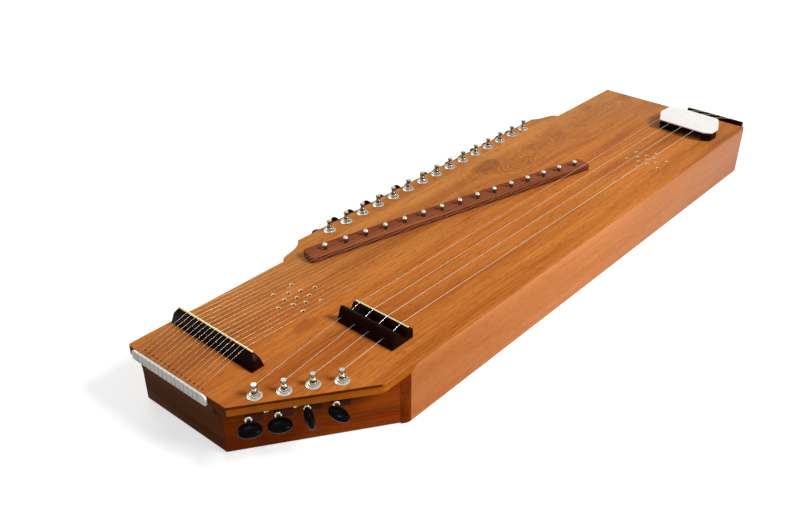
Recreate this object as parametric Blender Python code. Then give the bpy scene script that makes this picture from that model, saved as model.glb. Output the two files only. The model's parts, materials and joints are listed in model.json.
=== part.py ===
"""A swarmandal, a box zither played with the fingers.

Fifteen melody strings run from a tall dark bridge to studs on a slanted bar, and turn
there to geared tuners along a wing at the back. Four drone strings run from a tailpiece
over a flat white bridge and a dark nut to geared tuners along a slanted corner.
X runs along the strings towards the tail, Y to the back, Z up. The origin is in the
middle of the underside. All lengths are in metres.
"""
import math

import bmesh
import bpy
from mathutils import Matrix, Vector

# Clearances
GAP = 0.0003
RUNNING_GAP = 0.0003
SUNK = 0.0008
STRING_BITE = 0.0002
OVERCUT = 0.01

# Sound box
LENGTH = 0.914
WIDTH = 0.230
DEPTH = 0.0725
TOP_T = 0.003
PLANK_T = 0.0072
WALL_T = 0.006
BASE_T = 0.004
RAIL_H = 0.0165
LEFT_EDGE = 0.146
LEFT_SLANT = 0.0027
CORNER_CUT = 0.1219
CORNER_RADII = (0.004, 0.003, 0.011, 0.001)
LEFT_SETBACK = 0.0088
BACK_SETBACK = 0.005
SLANT_SETBACK_NEAR = 0.0201
SLANT_SETBACK_FAR = 0.0221
FOOT_ROUND = 0.003
COVE_TOP_REACH = 0.0078
COVE_H = 0.0292
COVE_END_INSET = 0.010

# Wing and planks under the top
WING_OUT = 0.0223
WING_LEFT_IN = 0.2085
WING_LEFT_RUN = 0.0415
WING_LEFT_BEND = ((0.05, 0.58), (0.64, 0.14))
WING_RIGHT_OVER = 0.0768
WING_RIGHT_RUN = 0.038
WING_RIGHT_BEND = ((0.05, 0.58), (0.64, 0.40))
HEAD_PLANK_L = 0.170
SCARF_RUN = 0.010
WING_PLANK_OVER = 0.0027

# Braces under the top
BRACE_XS = (-0.205, 0.0, 0.205)
BRACE_W = 0.010
BRACE_H = 0.012
TAIL_BLOCK_T = 0.020
TAIL_BLOCK_H = 0.040

# Sound holes
HOLE_D = 0.0026
HOLE_RING_INNER = 0.0135
HOLE_RING_OUTER = 0.0264
LEFT_HOLES_IN = (0.1672, 0.0646)
RIGHT_HOLES_IN = (0.1963, 0.0524)

# Edge strip and its pins
STRIP_T = 0.0027
STRIP_H = 0.011
STRIP_RISE = 0.0004
STRIP_BACK_IN = 0.010
STRIP_L = 0.1114
STRIP_ROUND = 0.004
HITCH_D = 0.002
HITCH_DROP = 0.0124
HITCH_OUT = 0.0003
HITCH_LOOP_IN = 0.0008
GUIDE_D = 0.0014
GUIDE_H = 0.0012
GUIDE_SETBACK = 0.0058

# Strings
MELODY_COUNT = 15
STRING_D = 0.0005
STRIP_FIRST_IN = 0.0205
STRIP_PITCH = 0.00633
STRIP_CLEAR = 0.001
BRIDGE_FIRST_IN = 0.0238
BRIDGE_PITCH = 0.00626
ROD_TOUCH = 0.0006
NUT_FIRST_IN = 0.0942
NUT_PITCH = 0.01865
JAWARI_FIRST_IN = 0.094
JAWARI_PITCH = 0.019
WRAP_TURN = 3.4

# Melody bridge
BRIDGE_IN = 0.059
BRIDGE_MIDDLE_IN = 0.0645
BRIDGE_LENGTH = 0.125
BRIDGE_FOOT_W = 0.016
BRIDGE_SHOULDER_Z = 0.011
BRIDGE_SHOULDER_W = 0.009
BRIDGE_TOP_Z = 0.0166
BRIDGE_TOP_W = 0.0034
BRIDGE_END_SLOPE = 0.0015
BRIDGE_END_CHAMFER = 0.0057
ROD_D = 0.0022
ROD_SHORTER = 0.0118

# Drone nut
NUT_IN = 0.1948
NUT_LENGTH = 0.0757
NUT_MIDDLE_IN = 0.06485
NUT_DEPTH = 0.0311
NUT_RIDGE_Z = 0.0172
NUT_CHANNEL_Z = 0.0055
NUT_REAR_Z = 0.0124
NUT_REAR_W = 0.0088
NUT_CHANNEL_W = 0.009
NUT_HOLE_Z = 0.008
NUT_HOLE_D = 0.0026
NUT_HOLE_SHIFT = 0.0025
NUT_EDGE = 0.002
NUT_SLOPE = 0.0015
NUT_CREST_IN = (0.0035, 0.006, 0.0083)
NUT_CREST_DROP = 0.0015
NUT_FOOT = (0.0006, 0.003)
NUT_ENTER = 0.0005
NUT_LEAVE = 0.002
NUT_ROD_IN = 0.0048
NUT_ROD_SHORTER = 0.004

# Pin bar and studs
BAR_H = 0.0086
BAR_FRONT = 0.0088
BAR_BACK = 0.0138
BAR_LEFT_OVER = 0.0224
BAR_RIGHT_OVER = 0.021
BAR_ROUNDS = (0.0045, 0.003, 0.005, 0.0055)
BAR_GROOVE = 0.0012
BAR_GROOVE_H = 0.0018
BAR_GROOVE_AT = 0.45
STUD_FIRST_IN = (0.2475, 0.026)
STUD_STEP = (0.0266, -0.00679)
STUD_H = 0.0078
STUD_BALL_D = 0.0063
STUD_WAIST_D = 0.0036
STUD_BASE_D = 0.006
STUD_BASE_AT = 0.18
STUD_WAIST_AT = 0.36
STUD_BALL_AT = 0.62
STUD_SHOULDER = (0.86, 0.86)
STUD_CROWN = 0.4

# Flat bridge
JAWARI_Z = 0.0142
JAWARI_PLATE_T = 0.0018
JAWARI_BASE_T = 0.004
JAWARI_CROWN = 0.0006
JAWARI_INSET = 0.0012
JAWARI_IN = (0.0575, 0.0595)
JAWARI_W = 0.0605
JAWARI_LENGTH = 0.0930
JAWARI_CUTS = ((0.0267, 0.014), (0.0085, 0.010), (0.0090, 0.019), (0.0353, 0.0125),
               (0.0075, 0.010))
JAWARI_TURN = -2.6
JAWARI_CREASES = (-0.3, -0.1, 0.1, 0.3)
JAWARI_ARCH_BACK = 0.0069
JAWARI_ARCH_FRONT = -0.033
JAWARI_ARCH_ROUND = 0.003

# Tailpiece
TAIL_T = 0.0075
TAIL_RISE = 0.0055
TAIL_H = 0.034
TAIL_ROUND = 0.004
TAIL_NEAR_ROUND = 0.0015
TAIL_FOOT_ROUND = 0.003
TAIL_L = 0.086
TAIL_FRONT_IN = 0.005
TAIL_FIRST_IN = 0.0815
TAIL_PITCH = 0.0195
TAIL_WRAP = 82
TAIL_PIN_DROP = 0.010
TAIL_PIN_D = 0.0024
TAIL_PIN_OUT = 0.0042

# Tuners
FRONT_TUNERS = 4
FRONT_FIRST = 0.0277
FRONT_PITCH = 0.0272
FRONT_INSETS = (0.0105, 0.011, 0.014, 0.0135)
WING_FIRST_IN = 0.2911
WING_PITCH = 0.0286
WING_INSET = 0.0113
POST_D = 0.006
POST_RISE = 0.0138
POST_WAIST_D = 0.0044
POST_WAIST_Z = 0.0094
POST_SHOULDER = 0.0016
POST_CAP_D = 0.0064
POST_CAP_H = 0.0024
WASHER_D = 0.0148
WASHER_T = 0.0014
NUT_ACROSS_FLATS = 0.0098
HEX_H = 0.0034
SLEEVE_D = 0.0086
WHEEL_D = 0.0112
WHEEL_H = 0.0052
KEY_DROP = 0.0067
KEY_D = 0.0046
SHAFT_D = 0.0042
WORM_CLEARANCE = 0.0004
WORM_BACK = 0.0047
HOUSING_WALL = 0.0009
HOUSING_FRONT = 0.0085
HOUSING_FLOOR = 0.0034
HOUSING_ROOF = 0.0013
HOUSING_ROUNDS = (0.002, 0, 0, 0.0025)
EAR_T = 0.0015
EAR_STEP = 0.0002
EAR_R = 0.003
EAR_OUT = 0.0074
EAR_SIDE = 0.0088
COLLAR_D = 0.007
COLLAR_T = 0.0025
SHAFT_SHOW = 0.0038
BUTTON_L = 0.019
BUTTON_W = 0.024
BUTTON_T = 0.0095
BUTTON_RINGS = ((0.0, 0.3, 0.6), (0.2, 0.86, 0.96), (0.66, 1.0, 1.0), (1.0, 0.6, 0.6))
FRONT_KEY_ANGLES = (3, 0, 101, -33)
WING_KEY_ANGLES = (20, 78, 70, 84, 62, 88, 8, 74, -10, 14, -4, 26, 6, -16, 10)

# Levels, from the underside
BOARD_UNDER = DEPTH - TOP_T
PLANK_TOP = BOARD_UNDER - GAP
PLANK_UNDER = PLANK_TOP - PLANK_T
WALL_TOP = BOARD_UNDER - GAP
WALL_TOP_LOW = PLANK_UNDER - GAP
ON_TOP = DEPTH + GAP
KEY_Z = PLANK_UNDER - GAP - KEY_DROP
WORM_OFFSET = (WHEEL_D + KEY_D) / 2 + WORM_CLEARANCE
STRING_R = STRING_D / 2
STRING_OFF = STRING_R + GAP


def clear_scene():
    for thing in list(bpy.data.objects):
        bpy.data.objects.remove(thing, do_unlink=True)


def material(name, colour, roughness, metallic=0.0):
    mat = bpy.data.materials.get(name) or bpy.data.materials.new(name)
    mat.use_nodes = True
    shader = mat.node_tree.nodes["Principled BSDF"]
    shader.inputs["Base Color"].default_value = (*colour, 1.0)
    shader.inputs["Roughness"].default_value = roughness
    shader.inputs["Metallic"].default_value = metallic
    mat.diffuse_color = (*colour, 1.0)
    return mat


def mesh_from(bm, name, smooth_angle=30.0):
    """Turns an edit mesh into a mesh that is smooth where it is round."""
    bmesh.ops.recalc_face_normals(bm, faces=bm.faces)
    mesh = bpy.data.meshes.new(name)
    bm.to_mesh(mesh)
    bm.free()
    mesh.shade_smooth()
    mesh.set_sharp_from_angle(angle=math.radians(smooth_angle))
    return mesh


def place(name, mesh, mat, matrix=None, parent=None):
    """Adds an object with its own material."""
    thing = bpy.data.objects.new(name, mesh)
    bpy.context.scene.collection.objects.link(thing)
    if not mesh.materials:
        mesh.materials.append(mat)
    if parent is not None:
        thing.parent = parent
    if matrix is not None:
        thing.matrix_local = matrix
    return thing


def cut(target, cutter_bm, name, operation="DIFFERENCE"):
    """Cuts a hidden shape out of an object, or joins it on."""
    cutter = bpy.data.objects.new(name, mesh_from(cutter_bm, name))
    bpy.context.scene.collection.objects.link(cutter)
    cutter.hide_render = True
    cutter.display_type = "WIRE"
    step = target.modifiers.new(name, "BOOLEAN")
    step.operation = operation
    step.object = cutter
    step.solver = "EXACT"
    return cutter


def settled(target, cutters):
    """Applies an object's modifiers and gives its mesh; the helpers are removed."""
    bpy.context.view_layer.update()
    graph = bpy.context.evaluated_depsgraph_get()
    mesh = bpy.data.meshes.new_from_object(target.evaluated_get(graph))
    for thing in [target, *cutters]:
        bpy.data.objects.remove(thing, do_unlink=True)
    mesh.shade_smooth()
    mesh.set_sharp_from_angle(angle=math.radians(30))
    return mesh


# Outlines and solids
def line_offset(start, end, distance):
    """The line through two points, moved to its left."""
    along = (Vector(end) - Vector(start)).normalized()
    shift = Vector((-along.y, along.x)) * distance
    return Vector(start) + shift, Vector(end) + shift


def meet(first, second):
    """The point where two lines, each given by two points, cross."""
    (a, b), (c, d) = first, second
    r, s = b - a, d - c
    share = (c - a).cross(s) / r.cross(s)
    return a + r * share


def round_corners(points, radii, steps=4):
    """An outline with some corners turned into arcs."""
    result = []
    count = len(points)
    for index, radius in enumerate(radii):
        here = Vector(points[index])
        before = (Vector(points[index - 1]) - here).normalized()
        after = (Vector(points[(index + 1) % count]) - here).normalized()
        if radius <= 0:
            result.append(here)
            continue
        half = before.angle(after) / 2
        middle = here + (before + after).normalized() * (radius / math.sin(half))
        first = here + before * (radius / math.tan(half)) - middle
        last = here + after * (radius / math.tan(half)) - middle
        sweep = first.angle_signed(last)
        for step in range(steps + 1):
            turned = first.copy()
            turned.rotate(Matrix.Rotation(-sweep * step / steps, 2))
            result.append(middle + turned)
    return result


def prism(outline, low, high, along="Z"):
    """A solid pushed out of a flat outline, between two levels of one axis."""
    where = {
        "X": lambda a, b: (low, a, b),
        "Y": lambda a, b: (a, low, b),
        "Z": lambda a, b: (a, b, low),
    }[along]
    push = {"X": (high - low, 0, 0), "Y": (0, high - low, 0), "Z": (0, 0, high - low)}[along]
    bm = bmesh.new()
    face = bm.faces.new([bm.verts.new(where(*point)) for point in outline])
    grown = bmesh.ops.extrude_face_region(bm, geom=[face])
    moved = [item for item in grown["geom"] if isinstance(item, bmesh.types.BMVert)]
    bmesh.ops.translate(bm, verts=moved, vec=push)
    bmesh.ops.recalc_face_normals(bm, faces=bm.faces)
    return bm


def band(bm, low, high):
    """Faces between two rings, where the second may have twice as many points."""
    if len(low) > len(high):
        low, high = high, low
    count = len(low)
    for k in range(count):
        a, b = low[k], low[(k + 1) % count]
        if len(high) == count:
            bm.faces.new((a, b, high[(k + 1) % count], high[k]))
            continue
        c, d, e = high[2 * k], high[2 * k + 1], high[(2 * k + 2) % len(high)]
        for corners in ((a, c, d), (a, d, b), (b, d, e)):
            bm.faces.new(corners)


def loft(rings):
    """A solid over rings of points, with its ends filled."""
    bm = bmesh.new()
    rows = [[bm.verts.new(point) for point in ring] for ring in rings]
    for low, high in zip(rows, rows[1:]):
        band(bm, low, high)
    for row in (rows[0], rows[-1]):
        bm.faces.new(row)
    bmesh.ops.recalc_face_normals(bm, faces=bm.faces)
    return bm


def turned(profile, steps, closed=False):
    """A solid turned round Z from a profile of (radius, height) points."""
    bm = bmesh.new()
    verts = [bm.verts.new((radius, 0, height)) for radius, height in profile]
    pairs = list(zip(verts, verts[1:]))
    if closed:
        pairs.append((verts[-1], verts[0]))
    edges = [bm.edges.new(pair) for pair in pairs]
    bmesh.ops.spin(
        bm, geom=verts + edges, cent=(0, 0, 0), axis=(0, 0, 1),
        angle=2 * math.pi, steps=steps, use_merge=True,
    )
    bmesh.ops.remove_doubles(bm, verts=bm.verts, dist=1e-6)
    bmesh.ops.recalc_face_normals(bm, faces=bm.faces)
    return bm


def ring(radius, height, count, turn=0.0):
    """Points of a regular polygon round Z."""
    return [
        (
            radius * math.cos(turn + 2 * math.pi * k / count),
            radius * math.sin(turn + 2 * math.pi * k / count),
            height,
        )
        for k in range(count)
    ]


def around(radius, sides):
    """The corner radius of a polygon that just clears a circle."""
    return radius / math.cos(math.pi / sides)


def stamp(target, source, matrix):
    """Adds a moved copy of a mesh to an edit mesh."""
    copy = source.copy()
    copy.transform(matrix)
    target.from_mesh(copy)
    bpy.data.meshes.remove(copy)


def pegs(places, radius, low, high, sides):
    """Upright pegs at (x, y) points, as one edit mesh."""
    bm = bmesh.new()
    for x, y in places:
        bmesh.ops.create_cone(
            bm, cap_ends=True, segments=sides, radius1=radius, radius2=radius,
            depth=high - low, matrix=Matrix.Translation((x, y, (low + high) / 2)),
        )
    return bm


# Plan of the box
FRONT_Y = -WIDTH / 2
BACK_Y = WIDTH / 2
LEFT_X = -LENGTH / 2
RIGHT_X = LENGTH / 2
WING_Y = BACK_Y + WING_OUT
CORNER_A = Vector((LEFT_X, BACK_Y))
CORNER_B = Vector((LEFT_X + LEFT_SLANT, BACK_Y - LEFT_EDGE))
CORNER_C = Vector((LEFT_X + CORNER_CUT, FRONT_Y))
SLANT_ALONG = (CORNER_C - CORNER_B).normalized()
SLANT_OUT = Vector((SLANT_ALONG.y, -SLANT_ALONG.x))
SLANT_WALL_NEAR = CORNER_B - SLANT_OUT * SLANT_SETBACK_NEAR
SLANT_WALL_FAR = CORNER_C - SLANT_OUT * SLANT_SETBACK_FAR
SLANT_RUN = (SLANT_WALL_FAR - SLANT_WALL_NEAR).normalized()
SLANT_FACE = Vector((SLANT_RUN.y, -SLANT_RUN.x))
WING_LEFT_X = LEFT_X + WING_LEFT_IN
WING_FIRST_X = LEFT_X + WING_FIRST_IN
WING_RIGHT_X = WING_FIRST_X + WING_PITCH * (MELODY_COUNT - 1) + WING_RIGHT_OVER
WING_PLANK_END_X = WING_RIGHT_X + WING_PLANK_OVER
HEAD_PLANK_END_X = LEFT_X + HEAD_PLANK_L
BRIDGE_X = LEFT_X + BRIDGE_IN
BRIDGE_Y = BACK_Y - BRIDGE_MIDDLE_IN
NUT_X = LEFT_X + NUT_IN
NUT_MIDDLE_Y = FRONT_Y + NUT_MIDDLE_IN
JAWARI_CENTRE = Vector((RIGHT_X - JAWARI_IN[0], FRONT_Y + JAWARI_IN[1]))


def wing_curve(start_x, run, bend, steps=8):
    """The S-shaped end of the wing, from the back edge outwards."""
    handles = [Vector((run * along, WING_OUT * out)) for along, out in ((0, 0), *bend, (1, 1))]
    points = []
    for step in range(steps + 1):
        t = step / steps
        weights = ((1 - t) ** 3, 3 * t * (1 - t) ** 2, 3 * t * t * (1 - t), t ** 3)
        point = sum((h * w for h, w in zip(handles, weights)), Vector((0, 0)))
        points.append(Vector((start_x, BACK_Y)) + point)
    return points


def wing_outline():
    """The whole edge of the wing, from its right end to its left end."""
    right = wing_curve(WING_RIGHT_X, -WING_RIGHT_RUN, WING_RIGHT_BEND)
    left = wing_curve(WING_LEFT_X, WING_LEFT_RUN, WING_LEFT_BEND)
    return right + left[::-1]


def top_outline():
    """The sound board, seen from above, anticlockwise from its right back corner."""
    radius_a, radius_b, radius_c, radius_right = CORNER_RADII
    wing = wing_outline()
    points = [Vector((RIGHT_X, BACK_Y)), *wing, CORNER_A, CORNER_B, CORNER_C,
              Vector((RIGHT_X, FRONT_Y))]
    radii = [radius_right] + [0] * len(wing) + [radius_a, radius_b, radius_c, radius_right]
    return round_corners(points, radii)


def wall_lines(inset):
    """Lines of the box walls' faces, this far inside their outer faces."""
    left = line_offset(CORNER_A, CORNER_B, LEFT_SETBACK + inset)
    return {
        "left": left,
        "slant": line_offset(SLANT_WALL_NEAR, SLANT_WALL_FAR, inset),
        "front": (Vector((LEFT_X, FRONT_Y + inset)), Vector((RIGHT_X, FRONT_Y + inset))),
        "back": (Vector((RIGHT_X, BACK_Y - BACK_SETBACK - inset)),
                 Vector((LEFT_X, BACK_Y - BACK_SETBACK - inset))),
        "right": (Vector((RIGHT_X - inset, FRONT_Y)), Vector((RIGHT_X - inset, BACK_Y))),
    }


def x_on(line, y):
    """Where a line has this y."""
    start, end = line
    return start.x + (end.x - start.x) * (y - start.y) / (end.y - start.y)


# Tuner places: post, outward direction and rest angle of the key, in degrees
def tuner_places():
    front = []
    for index in range(FRONT_TUNERS):
        along = FRONT_FIRST + index * FRONT_PITCH
        inset = FRONT_INSETS[index % len(FRONT_INSETS)]
        spot = CORNER_B + SLANT_ALONG * along - SLANT_OUT * inset
        angle = FRONT_KEY_ANGLES[index % len(FRONT_KEY_ANGLES)]
        front.append((spot, SLANT_OUT, angle))
    wing = []
    for index in range(MELODY_COUNT):
        spot = Vector((WING_FIRST_X + index * WING_PITCH, WING_Y - WING_INSET))
        angle = WING_KEY_ANGLES[index % len(WING_KEY_ANGLES)]
        wing.append((spot, Vector((0, 1)), angle))
    return front, wing


def tuner_frame(spot, out, height):
    """Axes at a tuner: X outwards, Z up."""
    return Matrix.Translation((spot.x, spot.y, height)) @ Matrix.Rotation(
        math.atan2(out.y, out.x), 4, "Z"
    )


def key_frame(spot, out, angle):
    """Axes on a key's shaft: Z outwards along the shaft, turned to its rest angle."""
    base = tuner_frame(spot, out, KEY_Z)
    lay = Matrix.Rotation(math.pi / 2, 4, "Y")
    return base @ Matrix.Translation((0, -WORM_OFFSET, 0)) @ lay @ Matrix.Rotation(
        math.radians(angle), 4, "Z"
    )


# Box
def make_soundboard(mat):
    """The top, with the bars and the tail block glued under it and the guide pins."""
    front, wing = tuner_places()
    mesh = mesh_from(prism(top_outline(), BOARD_UNDER, DEPTH), "soundboard")
    board = place("soundboard", mesh, mat)
    cut(board, brace_bars(), "brace_bars", "UNION")
    pins = [guide_spot(*ys) for ys in string_lines()]
    cut(board, pegs(pins, GUIDE_D / 2, DEPTH - SUNK, DEPTH + GUIDE_H, 6), "guide_pins",
        "UNION")
    bores = [spot for spot, _, _ in front + wing]
    cut(board, pegs(bores, around(SLEEVE_D / 2 + GAP, 6), BOARD_UNDER - OVERCUT,
                    DEPTH + OVERCUT, 6), "tuner_bores")
    holes = []
    left = (LEFT_X + LEFT_HOLES_IN[0], BACK_Y - LEFT_HOLES_IN[1])
    right = (RIGHT_X - RIGHT_HOLES_IN[0], FRONT_Y + RIGHT_HOLES_IN[1])
    for x, y in (left, right):
        holes.append((x, y))
        for k in range(6):
            for radius, turn in ((HOLE_RING_INNER, 30), (HOLE_RING_OUTER, 0)):
                angle = math.radians(turn + 60 * k)
                holes.append((x + radius * math.cos(angle), y + radius * math.sin(angle)))
    cut(board, pegs(holes, HOLE_D / 2, BOARD_UNDER - OVERCUT, DEPTH + OVERCUT, 8),
        "sound_holes")


def brace_bars():
    """Bars across the underside of the top, and the block behind the tailpiece."""
    low_y = FRONT_Y + WALL_T + GAP
    high_y = BACK_Y - BACK_SETBACK - WALL_T - GAP
    bm = bmesh.new()
    bars = [(x - BRACE_W / 2, x + BRACE_W / 2, BRACE_H) for x in BRACE_XS]
    inside = RIGHT_X - WALL_T - GAP
    bars.append((inside - TAIL_BLOCK_T, inside, TAIL_BLOCK_H))
    for low_x, high_x, tall in bars:
        outline = [(low_x, low_y), (high_x, low_y), (high_x, high_y), (low_x, high_y)]
        bar = prism(outline, BOARD_UNDER - tall, BOARD_UNDER + SUNK)
        stamp(bm, mesh_from(bar, "bar"), Matrix())
    return bm


def make_planks(mat_head, mat_wing):
    """Two thick planks under the top: across the head, and along the wing.

    The fifteen tuner bodies of the wing are one with the plank that they are fixed to.
    """
    front, wing = tuner_places()
    outline = round_corners(
        [Vector((HEAD_PLANK_END_X, BACK_Y)), CORNER_A, CORNER_B, CORNER_C,
         Vector((HEAD_PLANK_END_X, FRONT_Y))],
        [0, *CORNER_RADII[:3], 0],
    )
    bm = prism(outline, PLANK_UNDER, PLANK_TOP)
    for vert in bm.verts:
        if vert.co.z < (PLANK_UNDER + PLANK_TOP) / 2 and vert.co.x > HEAD_PLANK_END_X - 1e-5:
            vert.co.x -= SCARF_RUN
    head = place("head_plank", mesh_from(bm, "head_plank"), mat_head)
    bore = around(SLEEVE_D / 2 + GAP, 6)
    cut(head, pegs([spot for spot, _, _ in front], bore, PLANK_UNDER - OVERCUT,
                   PLANK_TOP + OVERCUT, 6), "head_bores")

    inner_y = BACK_Y - BACK_SETBACK - WALL_T
    start_x = HEAD_PLANK_END_X + GAP * math.hypot(SCARF_RUN, PLANK_T) / PLANK_T
    outline = [
        Vector((start_x, inner_y)), Vector((WING_PLANK_END_X, inner_y)),
        Vector((WING_PLANK_END_X, BACK_Y)), *wing_outline(), Vector((start_x, BACK_Y)),
    ]
    bm = prism(outline, PLANK_UNDER, PLANK_TOP)
    for vert in bm.verts:
        if vert.co.z < (PLANK_UNDER + PLANK_TOP) / 2 and vert.co.x < start_x + 1e-5:
            vert.co.x -= SCARF_RUN
    plank = place("wing_plank", mesh_from(bm, "wing_plank"), mat_wing)
    shapes = tuner_shapes(SUNK)
    for name in ("housing", "ear", "nut", "post_bore", "wheel_room", "worm_bore"):
        group = bmesh.new()
        for spot, out, _ in wing:
            stamp(group, shapes[name], tuner_frame(spot, out, DEPTH))
        solid = name in ("housing", "ear", "nut")
        cut(plank, group, f"wing_{name}", "UNION" if solid else "DIFFERENCE")


def round_foot(bm, picks):
    """Rounds the outer bottom edges whose two ends a test picks."""
    edges = [
        edge for edge in bm.edges
        if all(abs(v.co.z) < 1e-6 for v in edge.verts) and picks(edge)
    ]
    bmesh.ops.bevel(
        bm, geom=edges, offset=FOOT_ROUND, offset_type="OFFSET", segments=3,
        profile=0.5, affect="EDGES", clamp_overlap=True,
    )


def make_base(mat):
    """The base board, with a raised rail under the left and the slanted wall."""
    outer, inner = wall_lines(0), wall_lines(WALL_T)
    front_y = FRONT_Y + WALL_T + GAP
    back_y = BACK_Y - BACK_SETBACK
    right_x = RIGHT_X - WALL_T - GAP
    inner_back = back_y - WALL_T - GAP
    corner = meet(outer["left"], outer["slant"])
    inner_corner = meet(inner["left"], inner["slant"])
    back_left = Vector((x_on(outer["left"], back_y), back_y))
    rail_left = Vector((x_on(inner["left"], back_y), back_y))
    notch = Vector((x_on(inner["left"], inner_back), inner_back))
    slant_end = Vector((x_on(outer["slant"], front_y), front_y))
    rail_end = Vector((x_on(inner["slant"], front_y), front_y))
    board = prism(
        [Vector((right_x, inner_back)), notch, rail_left, back_left, corner,
         slant_end, Vector((right_x, front_y))],
        0, BASE_T,
    )
    left_run, slant_run = (back_left, corner), (corner, slant_end)

    def outside(edge):
        middle = (edge.verts[0].co + edge.verts[1].co).xy / 2
        for start, end in (left_run, slant_run):
            if (middle - (start + end) / 2).length < 1e-5:
                return True
        return False

    round_foot(board, outside)
    base = place("base_board", mesh_from(board, "base_board"), mat)
    rail = prism(
        [rail_left, back_left, corner, slant_end, rail_end, inner_corner],
        BASE_T * 0.75, RAIL_H,
    )
    cut(base, rail, "base_rail", "UNION")


def cove_profile(steps=6):
    """The cove from the side: a quarter ellipse of (reach, height) points."""
    points = []
    for step in range(steps + 1):
        angle = math.pi / 2 * step / steps
        points.append((COVE_TOP_REACH * (1 - math.cos(angle)),
                       WALL_TOP_LOW - COVE_H * (1 - math.sin(angle))))
    return points


def cove_x(y, z):
    """The outer face of the cove at this place."""
    points = cove_profile()
    reach = 0.0
    for (near, low), (far, high) in zip(points, points[1:]):
        if z >= low:
            reach = near + (far - near) * min(1.0, (z - low) / (high - low))
    return x_on(wall_lines(0)["left"], y) - reach


def make_walls(mats):
    outer, inner = wall_lines(0), wall_lines(WALL_T)
    back_y = BACK_Y - BACK_SETBACK
    inner_back = back_y - WALL_T
    inner_front = FRONT_Y + WALL_T
    stand = RAIL_H + GAP
    corner = meet(outer["left"], outer["slant"])
    inner_corner = meet(inner["left"], inner["slant"])
    mitre = (corner - inner_corner).normalized()
    side = Vector((-mitre.y, mitre.x)) * (GAP / 2)

    # Left wall, with the cove that runs out to the edge of the head plank
    left = [
        Vector((x_on(inner["left"], back_y), back_y)),
        Vector((x_on(outer["left"], back_y), back_y)),
        corner - side, inner_corner - side,
    ]
    wall = place("left_wall", mesh_from(prism(left, stand, WALL_TOP_LOW), "left_wall"),
                 mats["left"])
    inside = -WALL_T / 2
    profile = [(inside, WALL_TOP_LOW - COVE_H), *cove_profile(), (inside, WALL_TOP_LOW)]
    rings = []
    for y in (back_y, corner.y + COVE_END_INSET):
        edge_x = x_on(outer["left"], y)
        rings.append([(edge_x - reach, y, z) for reach, z in profile])
    cut(wall, loft(rings), "left_cove", "UNION")
    cut(wall, hitch_pins(), "hitch_pins", "UNION")

    # Slanted wall, standing on the rail and meeting the inside of the front wall
    end_y = inner_front + GAP
    slant = [
        corner + side, Vector((x_on(outer["slant"], end_y), end_y)),
        Vector((x_on(inner["slant"], end_y), end_y)), inner_corner + side,
    ]
    place("slant_wall", mesh_from(prism(slant, stand, WALL_TOP_LOW), "slant_wall"),
          mats["slant"])

    # Front wall, its near end cut in line with the slanted wall
    shift = GAP * math.hypot(SCARF_RUN, PLANK_T) / PLANK_T
    scarf_top = HEAD_PLANK_END_X + shift
    near_x = x_on(outer["slant"], inner_front) - WALL_T
    outline = [(near_x, 0), (RIGHT_X, 0), (RIGHT_X, WALL_TOP), (scarf_top, WALL_TOP),
               (scarf_top - SCARF_RUN, WALL_TOP_LOW), (near_x, WALL_TOP_LOW)]
    bm = prism(outline, FRONT_Y, inner_front, along="Y")
    sliced = bmesh.ops.bisect_plane(
        bm, geom=bm.verts[:] + bm.edges[:] + bm.faces[:],
        plane_co=(*outer["slant"][0], 0), plane_no=(SLANT_FACE.x, SLANT_FACE.y, 0),
        clear_outer=True,
    )
    rim = [item for item in sliced["geom_cut"] if isinstance(item, bmesh.types.BMEdge)]
    bmesh.ops.edgeloop_fill(bm, edges=rim)
    round_foot(bm, lambda edge: all(v.co.y < FRONT_Y + 1e-5 for v in edge.verts))
    place("front_wall", mesh_from(bm, "front_wall"), mats["front"])

    # Back wall, lower where the planks lie over it
    start_x = x_on(inner["left"], inner_back)
    outline = [
        (start_x + GAP * 2, 0), (RIGHT_X, 0), (RIGHT_X, WALL_TOP),
        (WING_PLANK_END_X + GAP, WALL_TOP), (WING_PLANK_END_X + GAP, WALL_TOP_LOW),
        (start_x + GAP * 2, WALL_TOP_LOW),
    ]
    bm = prism(outline, inner_back, back_y, along="Y")
    round_foot(bm, lambda edge: all(v.co.y > back_y - 1e-5 for v in edge.verts))
    place("back_wall", mesh_from(bm, "back_wall"), mats["back"])

    # Tail wall, between the front wall and the back wall
    outline = [(inner_front + GAP, 0), (inner_back - GAP, 0),
               (inner_back - GAP, WALL_TOP), (inner_front + GAP, WALL_TOP)]
    bm = prism(outline, RIGHT_X - WALL_T, RIGHT_X, along="X")
    round_foot(bm, lambda edge: all(v.co.x > RIGHT_X - 1e-5 for v in edge.verts))
    place("tail_wall", mesh_from(bm, "tail_wall"), mats["tail"])


# Left edge
def string_lines():
    """Where each melody string crosses the strip and the bridge."""
    return [
        (BACK_Y - STRIP_FIRST_IN - STRIP_PITCH * k, BACK_Y - BRIDGE_FIRST_IN - BRIDGE_PITCH * k)
        for k in range(MELODY_COUNT)
    ]


def edge_x(y):
    """The left edge of the top at this y."""
    return x_on((CORNER_A, CORNER_B), y)


def make_edge_strip(mat):
    top, bottom = DEPTH + STRIP_RISE, DEPTH + STRIP_RISE - STRIP_H
    back_y = BACK_Y - STRIP_BACK_IN
    front_y = back_y - STRIP_L
    outline = round_corners(
        [(back_y, bottom), (back_y, top), (front_y, top), (front_y, bottom)],
        [STRIP_ROUND * 0.6, STRIP_ROUND, STRIP_ROUND, STRIP_ROUND * 0.6],
    )
    bm = prism(outline, -STRIP_T, 0, along="X")
    for vert in bm.verts:
        vert.co.x += edge_x(vert.co.y) - GAP
    place("edge_strip", mesh_from(bm, "edge_strip"), mat)


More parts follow.
